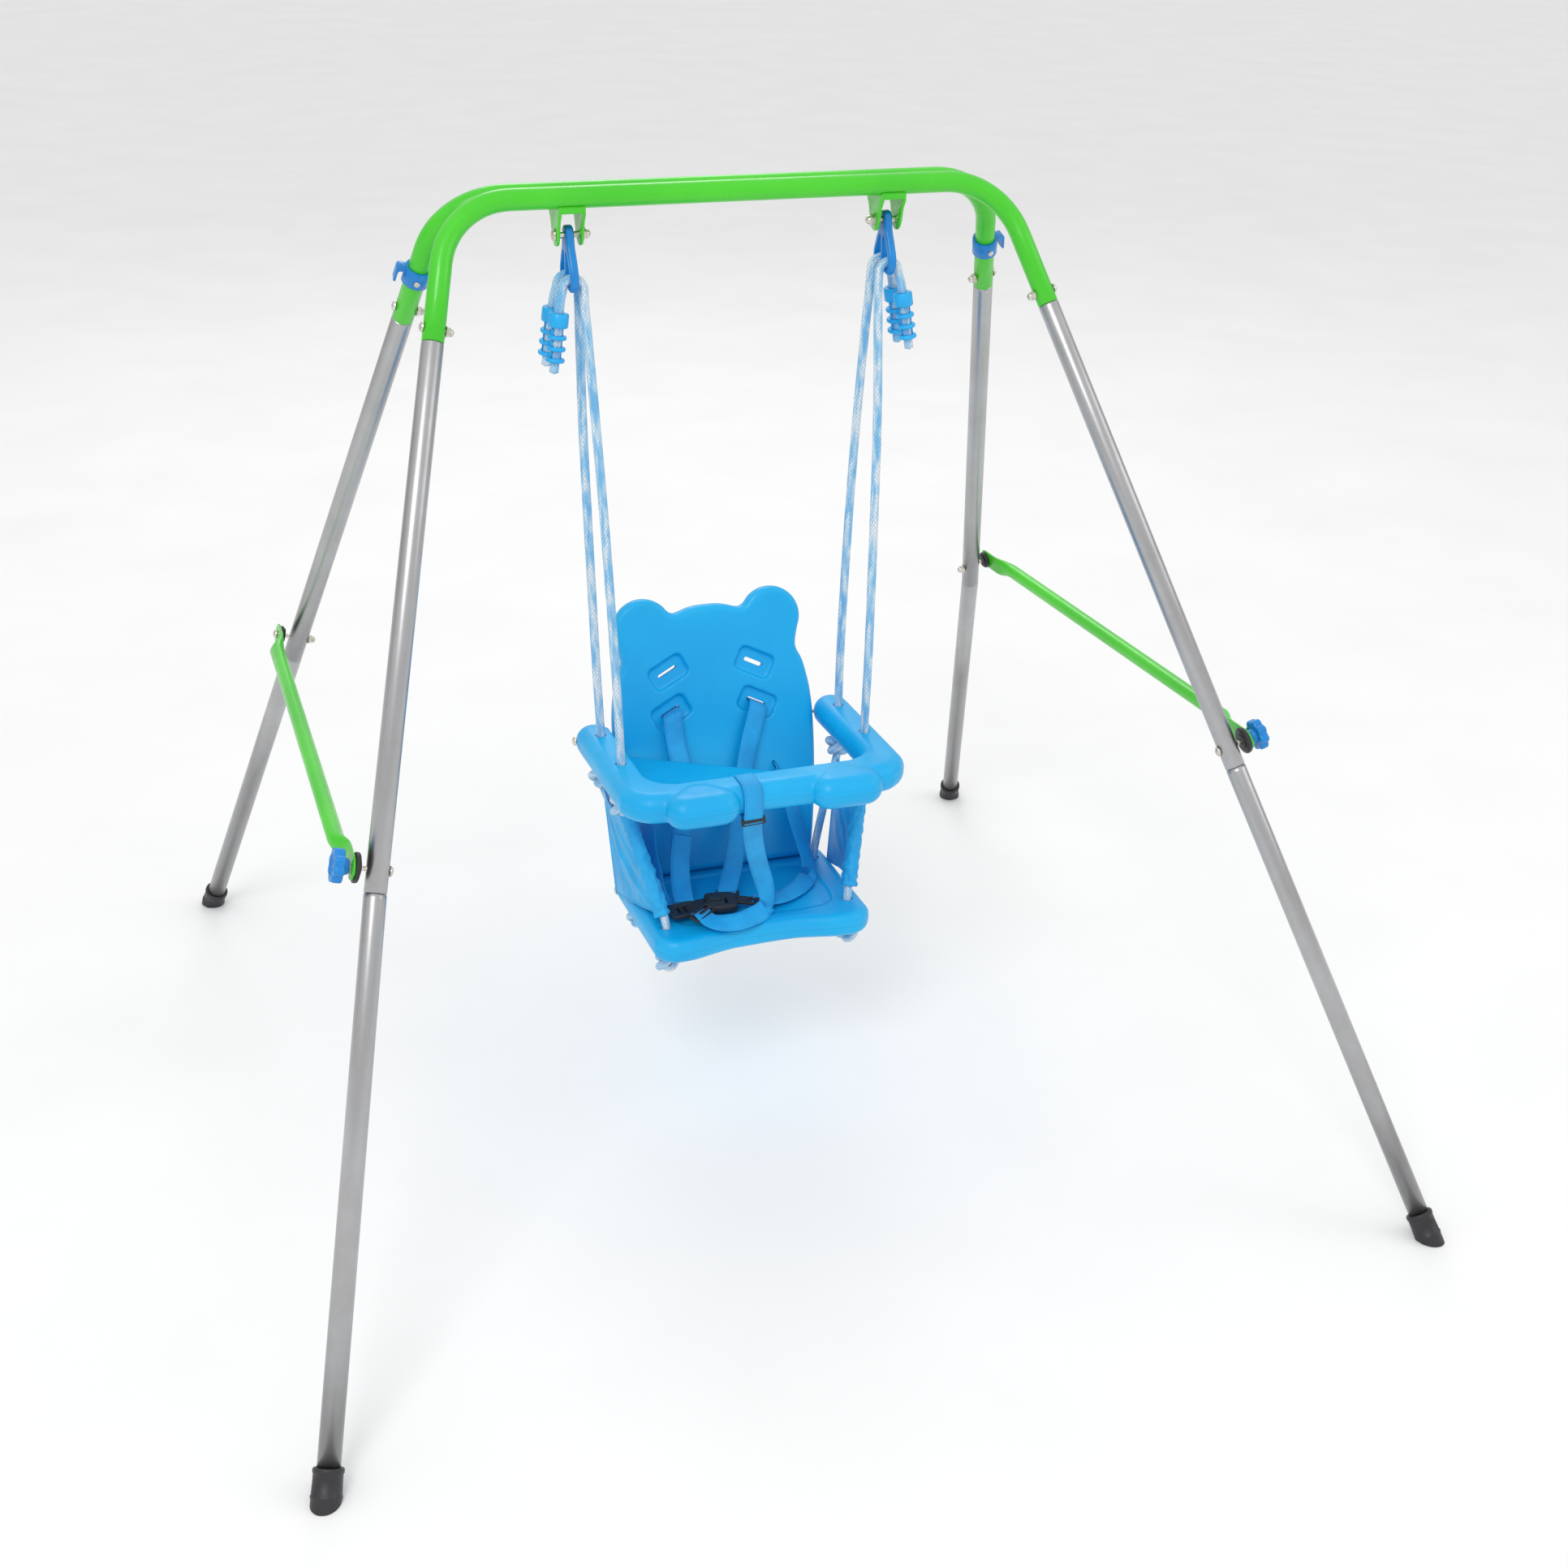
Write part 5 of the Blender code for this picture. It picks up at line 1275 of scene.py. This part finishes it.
def build_seat_bolts():
    along = (BAR_BOTTOM + 0.5 * BAR_T - BACK_FOOT_Z) / math.cos(BACK_LEAN)
    bolt_y = BACK_FOOT_Y + along * math.sin(BACK_LEAN) + 0.5 * BACK_T * math.cos(BACK_LEAN)
    for side_name, side in SIDES:
        for name, centre, head_at, inner in (
                (f"guard_bar_bolt_{side_name}", (0.0, bolt_y, BAR_BOTTOM + 0.5 * BAR_T), 0.1903, 0.118),
                (f"seat_base_bolt_{side_name}", (0.0, 0.052, BASE_LOW + 0.5 * BASE_T), 0.1483, 0.13)):
            direction = Vector((side, 0.0, 0.0))
            start = Vector(centre) + direction * inner
            head = axis_frame(Vector(centre) + direction * head_at, direction)
            meshes = [bolt_head(head, BOLT_HEAD_R)]
            meshes.append(cylinder(axis_frame(start, direction), BOLT_R, head_at - inner))
            made = look(name, merged(meshes), "zinc_bolt", "swing")
            sharpen(made, 0.00025, 2, 40.0)


# ------------------------------------------------------------------ harness
def strap_mesh(line, width):
    """Woven strap through (point, width direction) rows, with rounded edges and its own coordinates."""
    points = smooth_curve([Vector(point) for point, _ in line], 8)
    wide = smooth_curve([Vector(across).normalized() for _, across in line], 8)
    section = ((-0.5, 0.0), (-0.47, 0.5), (-0.25, 0.5), (0.0, 0.5), (0.25, 0.5), (0.47, 0.5), (0.5, 0.0),
               (0.47, -0.5), (0.25, -0.5), (0.0, -0.5), (-0.25, -0.5), (-0.47, -0.5))
    loops = []
    for point, wide_way, tangent in zip(points, wide, tangents_of(points)):
        across = (wide_way - tangent * wide_way.dot(tangent)).normalized()
        normal = tangent.cross(across)
        loops.append([point + across * (u * width) + normal * (v * WEB_T) for u, v in section])
    marks = [(u + 0.5, after[0] + 0.5) for (u, _), after in zip(section, section[1:] + section[:1])]
    mesh_builder, rings = woven_skin("weave", loops, marks, running_lengths(points))
    for end in (rings[0], rings[-1]):
        cap(mesh_builder, end)
    return mesh_builder


def build_strap(name, line, width=STRAP_W, replaced=()):
    return publish(name, strap_mesh(line, width), "webbing", "swing", replaced)


def plate_piece(name, outline, thickness, place, slots, rim=0.001, replaced=()):
    """Black plastic plate with rounded rims and through slots given as (u, v, half u, half v)."""
    made = loose(name, slab_mesh(outline, thickness, rim, place, 3))
    tools = []
    for centre_u, centre_v, half_u, half_v in slots:
        spot = place @ shift(centre_u, centre_v, -0.01)
        tools.append(prism("slot", rectangle(half_u, half_v, 0.0008, 3), thickness + 0.02, spot))
    boolean(made, tools, "DIFFERENCE")
    return finish_piece(made, "black_plastic", "swing", replaced)


def build_shoulder_straps():
    slot_left = (0.891, 0.09, 0.445)
    slot_right = (0.891, -0.09, -0.445)
    flat = (1.0, 0.0, 0.0)
    left = [((-0.06, 0.09, 0.493), slot_left), ((-0.06, 0.079, 0.4945), slot_left),
            ((-0.0605, 0.0725, 0.493), slot_left), ((-0.0612, 0.068, 0.486), (0.93, 0.06, 0.34)),
            ((-0.0615, 0.063, 0.474), (0.97, 0.0, 0.2)), ((-0.0605, 0.056, 0.456), (0.99, -0.05, 0.08)),
            ((-0.0575, 0.045, 0.428), (0.98, -0.16, 0.0)), ((-0.058, 0.034, 0.398), (0.97, -0.24, 0.0)),
            ((-0.0645, 0.02, 0.368), (0.98, -0.18, 0.0)), ((-0.0725, 0.006, 0.34), (0.99, -0.1, 0.0)),
            ((-0.078, -0.008, 0.316), flat), ((-0.083, -0.027, 0.298), flat),
            ((-0.087, -0.05, 0.2905), flat), ((-0.089, -0.064, 0.2875), flat)]
    build_strap("shoulder_strap_left_look", left, STRAP_W, ("shoulder_strap_left",))
    doubled = [((-0.069, 0.006, 0.349), (0.99, -0.12, 0.0)), ((-0.0735, -0.001, 0.337), (0.99, -0.1, 0.0)),
               ((-0.0785, -0.011, 0.318), flat), ((-0.0835, -0.029, 0.3006), flat),
               ((-0.0875, -0.051, 0.293), flat), ((-0.0895, -0.065, 0.2895), flat)]
    build_strap("shoulder_strap_left_tail", doubled, 0.0262)
    right = [((0.06, 0.09, 0.493), slot_right), ((0.06, 0.079, 0.4945), slot_right),
             ((0.059, 0.0725, 0.493), slot_right), ((0.056, 0.068, 0.486), (0.95, -0.05, -0.25)),
             ((0.051, 0.0635, 0.474), (0.98, 0.0, -0.12)), ((0.043, 0.058, 0.452), (0.99, 0.05, 0.0)),
             ((0.033, 0.049, 0.418), (0.99, 0.12, 0.0)), ((0.0235, 0.035, 0.384), (0.98, 0.18, 0.0)),
             ((0.014, 0.019, 0.356), (0.98, 0.14, 0.0)), ((0.005, 0.003, 0.327), flat),
             ((-0.006, -0.015, 0.304), flat), ((-0.017, -0.034, 0.295), flat),
             ((-0.026, -0.052, 0.2915), flat), ((-0.03, -0.06, 0.289), flat)]
    build_strap("shoulder_strap_right_look", right, STRAP_W, ("shoulder_strap_right",))


def build_waist_straps():
    """Waist straps: one from each side of the back, turned over a fold and led to the buckle."""
    slot_right = (0.47, -0.176, -0.865)
    slot_left = (0.47, 0.176, 0.865)
    drop = (0.86, 0.45, -0.1)
    right = [((0.083, 0.074, 0.399), slot_right), ((0.083, 0.06, 0.402), slot_right),
             ((0.0845, 0.052, 0.399), (0.6, -0.05, -0.75)), ((0.087, 0.043, 0.39), (0.78, 0.2, -0.5)),
             ((0.0895, 0.031, 0.373), (0.86, 0.38, -0.2)), ((0.093, 0.014, 0.342), drop),
             ((0.0985, -0.002, 0.312), (0.8, 0.58, 0.0)), ((0.101, -0.015, 0.292), (0.72, 0.66, 0.15)),
             ((0.096, -0.03, 0.283), (0.45, 0.85, 0.25)), ((0.082, -0.048, 0.28), (-0.1, 0.95, 0.3)),
             ((0.062, -0.066, 0.2805), (-0.35, 0.9, 0.25)), ((0.04, -0.079, 0.2815), (-0.3, 0.92, 0.22)),
             ((0.018, -0.083, 0.283), (-0.15, 0.96, 0.2)), ((0.001, -0.084, 0.285), (-0.1, 0.97, 0.2))]
    build_strap("lap_belt_look", right, STRAP_W, ("lap_belt",))
    left = [((-0.1, 0.074, 0.399), slot_left), ((-0.1, 0.06, 0.402), slot_left),
            ((-0.103, 0.052, 0.399), (0.55, 0.0, 0.8)), ((-0.108, 0.041, 0.39), (0.55, -0.4, 0.6)),
            ((-0.113, 0.025, 0.37), (0.5, -0.75, 0.3)), ((-0.115, 0.005, 0.34), (0.45, -0.88, 0.05)),
            ((-0.114, -0.012, 0.312), (0.5, -0.85, 0.05)), ((-0.116, -0.03, 0.2925), (0.6, -0.75, 0.2)),
            ((-0.116, -0.048, 0.284), (0.78, -0.55, 0.2)), ((-0.111, -0.066, 0.282), (0.94, -0.25, 0.1))]
    build_strap("waist_strap_left_look", left)


def build_rear_webbing():
    """Waist belt across the rear of the back, with the shoulder straps sewn onto it."""
    place = back_place()
    turn = place.to_3x3()

    def stretch(rows):
        return [(tuple(place @ Vector((u, v, BACK_T + lift))), tuple(turn @ Vector((wide_u, wide_v, 0.0))))
                for u, v, lift, wide_u, wide_v in rows]

    belt = [(-0.1, 0.1265, -0.01, 0.47, 0.88), (-0.0996, 0.1265, -0.001, 0.47, 0.88),
            (-0.096, 0.1268, 0.0012, 0.4, 0.92), (-0.084, 0.127, 0.0016, 0.2, 0.98),
            (-0.045, 0.1255, 0.0016, 0.0, 1.0), (0.0, 0.1245, 0.0016, 0.0, 1.0),
            (0.04, 0.125, 0.0016, 0.0, 1.0), (0.068, 0.1265, 0.0016, -0.2, 0.98),
            (0.079, 0.1268, 0.0012, -0.4, 0.92), (0.0826, 0.1265, -0.001, -0.47, 0.88),
            (0.083, 0.1265, -0.01, -0.47, 0.88)]
    build_strap("waist_belt_rear", stretch(belt))
    for side_name, side in SIDES:
        rows = [(0.06, 0.222, -0.012, 0.89, -0.45), (0.06, 0.222, -0.0055, 0.89, -0.45),
                (0.0582, 0.218, -0.0036, 0.89, -0.45), (0.054, 0.21, -0.001, 0.9, -0.42),
                (0.051, 0.203, 0.0012, 0.92, -0.38), (0.045, 0.185, 0.0014, 0.96, -0.25),
                (0.0415, 0.165, 0.0016, 0.99, -0.1), (0.04, 0.145, 0.0026, 1.0, 0.0),
                (0.04, 0.126, 0.0032, 1.0, 0.0), (0.04, 0.111, 0.003, 1.0, 0.0)]
        rows = [(side * u, v, lift, wide_u, side * wide_v) for u, v, lift, wide_u, wide_v in rows]
        build_strap(f"shoulder_strap_{side_name}_rear", stretch(rows))


def build_crotch_strap():
    """Loop round the front of the guard bar, closed by a slider, and the strap from it to the buckle."""
    flat = (1.0, 0.02, 0.0)
    loop_x = -0.03
    loop = [(-0.169, 0.442), (-0.1712, 0.452), (-0.1722, 0.465)]
    loop += arc((-0.156, 0.4755), 0.0163, 180.0, 90.0, 4) + arc((-0.1365, 0.4755), 0.0163, 90.0, 0.0, 4)
    loop += arc((-0.1365, 0.4645), 0.0163, 0.0, -90.0, 4) + [(-0.152, 0.4472), (-0.165, 0.4415)]
    build_strap("crotch_strap_loop", [((loop_x, y, z), flat) for y, z in loop])
    fall = [((-0.03, -0.1685, 0.4425), flat), ((-0.029, -0.164, 0.433), flat),
            ((-0.024, -0.152, 0.412), flat), ((-0.014, -0.133, 0.38), (0.99, 0.05, 0.0)),
            ((-0.003, -0.117, 0.348), (0.98, 0.1, 0.0)), ((0.007, -0.106, 0.32), (0.97, 0.16, 0.0)),
            ((0.012, -0.103, 0.3), (0.92, 0.35, 0.1)), ((0.01, -0.107, 0.288), (0.72, 0.62, 0.32)),
            ((0.0, -0.116, 0.285), (0.4, 0.78, 0.48)), ((-0.017, -0.127, 0.286), (0.15, 0.82, 0.55)),
            ((-0.037, -0.135, 0.2865), (0.05, 0.82, 0.56)), ((-0.055, -0.135, 0.287), (0.25, 0.8, 0.52)),
            ((-0.068, -0.127, 0.287), (0.62, 0.68, 0.35)), ((-0.0745, -0.116, 0.288), (0.78, 0.6, 0.12)),
            ((-0.0775, -0.105, 0.2905), (0.81, 0.58, 0.05)), ((-0.079, -0.096, 0.289), (0.82, 0.57, 0.05))]
    build_strap("crotch_strap_look", fall, STRAP_W, ("crotch_strap",))
    clip = axis_frame((loop_x, -0.1694, 0.444), (0.0, -0.92, 0.38), (1.0, 0.02, 0.03))
    plate_piece("crotch_slider", rectangle(0.016, 0.0052, 0.0022), 0.0032,
                clip @ shift(0, 0, -0.0004), ((0.0, 0.0029, 0.0134, 0.0011), (0.0, -0.0029, 0.0134, 0.0011)))


def build_buckle():
    """Five-point buckle lying on the seat, its tongues, and the slider of the crotch strap."""
    up = (0.02, -0.1, 1.0)
    body = axis_frame((-0.044, -0.077, 0.2815), up, (1.0, -0.12, 0.0))
    outline = [(-0.02, -0.013), (-0.013, -0.018), (0.014, -0.0175), (0.02, -0.012), (0.0205, 0.01),
               (0.015, 0.0175), (-0.012, 0.018), (-0.02, 0.013)]
    made = plate_piece("harness_buckle_look", dense_outline(outline, 0.003), 0.0105, body,
                       ((0.006, -0.004, 0.0016, 0.0062),), 0.0026, ("harness_buckle",))
    sharpen(made, 0.0004, 2, 40.0)
    raised = body @ shift(-0.008, 0.002, 0.0092)
    button = loose("button", slab_mesh(rectangle(0.0085, 0.0052, 0.0022), 0.003, 0.0008, raised, 3))
    finish_piece(button, "black_plastic", "swing").name = "buckle_button"
    fittings = (
        ("buckle_tongue_left", (-0.087, -0.08, 0.2825), up, (1.0, 0.1, 0.0), (0.0275, 0.015, 0.0028), 0.0052,
         ((-0.0165, -0.001, 0.0017, 0.0085), (-0.0075, -0.001, 0.0017, 0.0085))),
        ("buckle_tongue_shoulder", (-0.029, -0.061, 0.2845), up, (1.0, -0.3, 0.0), (0.0155, 0.0085, 0.0024),
         0.0056, ((0.0, 0.0022, 0.012, 0.0017),)),
        ("buckle_tongue_right", (-0.009, -0.08, 0.2825), up, (1.0, -0.45, 0.0), (0.0165, 0.008, 0.0024),
         0.0042, ((0.008, 0.0, 0.0016, 0.0055),)),
        ("buckle_slider", (-0.0776, -0.105, 0.2885), (-0.05, -0.25, 1.0), (0.81, 0.58, 0.05),
         (0.018, 0.0085, 0.0022), 0.0034, ((0.0, 0.0044, 0.0148, 0.0022), (0.0, -0.0044, 0.0148, 0.0022))),
    )
    for name, centre, normal, along, plate, thickness, slots in fittings:
        place = axis_frame(centre, normal, along)
        plate_piece(name, rectangle(*plate), thickness, place, slots)


# ------------------------------------------------------------------ cloth sides
def rope_between(side, row, share):
    """Point on a rope between its base hole (0) and its hole in the guard bar (1)."""
    base_x, base_y = BASE_ROPES[row]
    bar_x, bar_y = BAR_ROPES[row]
    low = Vector((side * base_x, base_y, BASE_TOP + 0.006))
    high = Vector((side * bar_x, bar_y, BAR_BOTTOM - 0.012))
    return low.lerp(high, share)


def build_sleeve(name, side, row, low, high):
    """Gathered sleeve sewn round a rope: its wall ripples where the cloth is bunched up."""
    rows = 64
    around = 28
    path = [rope_between(side, row, low + (high - low) * step / rows) for step in range(rows + 1)]
    frames = path_frames(path)
    offset = Vector((side * 3.1, 1.7 if row == "front" else 5.3, 0.0))
    outer = []
    inner = []
    for step, (point, (across, other)) in enumerate(zip(path, frames)):
        share = step / rows
        bunch = 1.0 - 0.65 * share
        ring_wave = 0.5 + 0.5 * math.sin(2.0 * math.pi * (11.0 * share + 0.35 * math.sin(9.0 * share)))
        loop = []
        hollow = []
        for index in range(around):
            angle = 2.0 * math.pi * index / around
            spot = Vector((math.cos(angle), math.sin(angle), 6.5 * share)) * 1.3 + offset
            ripple = noise.noise(spot * 1.6) * 0.0026 + noise.noise(spot * 4.2) * 0.0011
            radius = ROPE_R + 0.003 + bunch * (0.0017 * ring_wave + ripple + 0.0008)
            radius = max(radius, ROPE_R + 0.0012)
            way = math.cos(angle) * across + math.sin(angle) * other
            loop.append(point + way * radius)
            hollow.append(point + way * (radius - 0.0008))
        outer.append(loop)
        inner.append(hollow)
    return publish(name, skin(outer + list(reversed(inner)), closed=True), "panel_cloth", "swing")


def panel_edge(points, side):
    """Evenly spaced points along one edge of a side cloth, from the front rope to the rear."""
    curve = smooth_curve([Vector((side * x, y, z)) for x, y, z in points], 12)
    return even_points(curve, running_lengths(curve)[-1] / PANEL_COLUMNS)


def panel_point(side, low, high, u, v):
    """Point of the side cloth: slack between its edges, with folds drawn towards the front foot."""
    point = low.lerp(high, v)
    slack = math.sin(math.pi * min(1.0, u * 1.02)) ** 0.8 * math.sin(math.pi * (0.12 + 0.8 * v))
    diagonal = u - 0.95 * v
    pull = math.exp(-((diagonal - 0.1) / 0.055) ** 2) * 0.0042
    pull += math.exp(-((diagonal + 0.22) / 0.08) ** 2) * 0.0034
    pull -= math.exp(-((diagonal - 0.42) / 0.09) ** 2) * 0.0026
    wrinkle = noise.noise(Vector((3.2 * u, 4.5 * v, 2.0 * side))) * 0.0034
    fine = noise.noise(Vector((13.0 * u, 6.0 * v, 5.0 + side))) * 0.0008
    push = slack * (pull + wrinkle + fine - 0.003)
    return point + Vector((side * push, 0.0, 0.0))


def build_side_panel(side_name, side):
    """Thin cloth from the gathered sleeve on the front rope to a hemmed rear edge at the base bolt."""
    low_edge = panel_edge(PANEL_LOW, side)
    high_edge = panel_edge(PANEL_HIGH, side)
    grid = []
    for column in range(PANEL_COLUMNS + 1):
        u = column / PANEL_COLUMNS
        line = [panel_point(side, low_edge[column], high_edge[column], u, row / PANEL_ROWS)
                for row in range(PANEL_ROWS + 1)]
        grid.append(line)
    half = Vector((0.5 * CLOTH_T, 0.0, 0.0))
    loops = [[point - half for point in line] + [point + half for point in reversed(line)] for line in grid]
    name = f"side_panel_{side_name}"
    made = look(name, skin(loops), "panel_cloth", "swing")
    pieces = [build_sleeve(name + "_sleeve", side, "front", 0.07, 0.95)]
    hems = (("rear", grid[-1]), ("lower", [line[0] for line in grid]))
    for mark, edge in hems:
        mesh_builder = skin(tube_loops(edge, [0.0013] * len(edge), 8))
        pieces.append(publish(f"{name}_{mark}_hem", mesh_builder, "panel_cloth", "swing"))


# ------------------------------------------------------------------ camera, light and floor
def build_camera():
    place = Vector((-0.8250906, -2.50891364, 1.62324982))
    forward = Vector((0.33831485, 0.82756129, -0.4479792)).normalized()
    roll = 0.0272
    right = forward.cross(Vector((0.0, 0.0, 1.0))).normalized()
    up = right.cross(forward)
    right, up = (right * math.cos(roll) + up * math.sin(roll), up * math.cos(roll) - right * math.sin(roll))
    data = bpy.data.cameras.new("camera")
    data.sensor_width = 36.0
    data.lens = 50.32
    data.shift_x = -0.056
    data.shift_y = 0.0516
    data.clip_end = 100.0
    camera = bpy.data.objects.new("camera", data)
    camera.matrix_world = axes_frame(right, up, -forward, place)
    bpy.context.scene.collection.objects.link(camera)
    bpy.context.scene.camera = camera


def build_light(name, place, target, size, power):
    data = bpy.data.lights.new(name, "AREA")
    data.shape = "DISK"
    data.size = size
    data.energy = power
    lamp = bpy.data.objects.new(name, data)
    lamp.matrix_world = axis_frame(Vector(place), Vector(place) - Vector(target))
    bpy.context.scene.collection.objects.link(lamp)


def build_studio():
    made, tree, shader = start_material("floor_paper", (0.86, 0.86, 0.86), Roughness=0.9)
    color = ramp(tree, grain(tree, object_coords(tree), 3.0, 3.0), (0.3, (0.87, 0.87, 0.87)),
                 (0.7, (0.9, 0.9, 0.9)))
    tree.links.new(color, shader.inputs["Base Color"])
    mesh_builder = bmesh.new()
    size = 30.0
    ring_points = [(-size, -size, -0.0006), (size, -size, -0.0006), (size, size, -0.0006),
                   (-size, size, -0.0006)]
    mesh_builder.faces.new(ring(mesh_builder, [Vector(point) for point in ring_points]))
    floor = loose("floor", mesh_builder)
    floor.data.materials.append(made)
    world = bpy.data.worlds.new("studio")
    world.use_nodes = True
    sky = world.node_tree
    parts = node(sky, "SeparateXYZ", {"Vector": node(sky, "TexCoord").outputs["Generated"]})
    facing = maths(sky, "ADD", maths(sky, "MULTIPLY", parts.outputs["X"], -0.42),
                   maths(sky, "MULTIPLY", parts.outputs["Y"], -0.91))
    level = span(sky, facing, -1.0, 1.0, 0.0, 1.0)
    walls = ramp(sky, level, (0.1, (0.74, 0.74, 0.75)), (0.4, (0.56, 0.56, 0.57)),
                 (0.62, (0.68, 0.68, 0.7)), (0.8, (1.0, 1.0, 1.0)), (0.97, (0.8, 0.8, 0.82)))
    overhead = span(sky, parts.outputs["Z"], 0.22, 0.55, 0.0, 1.0)
    mixed = node(sky, "Mix", {"Factor": overhead, "A": walls, "B": (1.0, 1.0, 1.0, 1.0)}, data_type="RGBA")
    sky.links.new(mixed.outputs["Result"], sky.nodes["Background"].inputs["Color"])
    sky.nodes["Background"].inputs["Strength"].default_value = 0.9
    bpy.context.scene.world = world
    bpy.context.scene.view_settings.view_transform = "Standard"
    build_light("key", (-2.2, -3.2, 4.2), (0.0, 0.0, 0.5), 2.2, 75.0)
    build_light("fill", (3.6, -1.8, 2.4), (0.0, 0.0, 0.6), 2.6, 20.0)
    build_light("rim", (0.8, 3.8, 3.6), (0.0, 0.0, 0.7), 2.2, 30.0)


# ------------------------------------------------------------------ build everything
build_camera()
for side_label, side_sign in SIDES:
    for row_label in ("front", "rear"):
        build_rope(side_label, side_sign, row_label)
build_frame("rear", REAR, "rear_frame")
build_frame("front", FRONT, "front_frame")
for side_label, side_sign in SIDES:
    build_brace(side_label, side_sign)
    build_knob(side_label, side_sign)
    build_hanger(side_label, side_sign)
    build_hook(side_label, side_sign)
    build_storage_hook(side_label, side_sign)
build_guard_bar()
build_back()
build_base()
build_seat_bolts()
build_shoulder_straps()
build_waist_straps()
build_rear_webbing()
build_crotch_strap()
build_buckle()
for side_label, side_sign in SIDES:
    build_side_panel(side_label, side_sign)
build_studio()
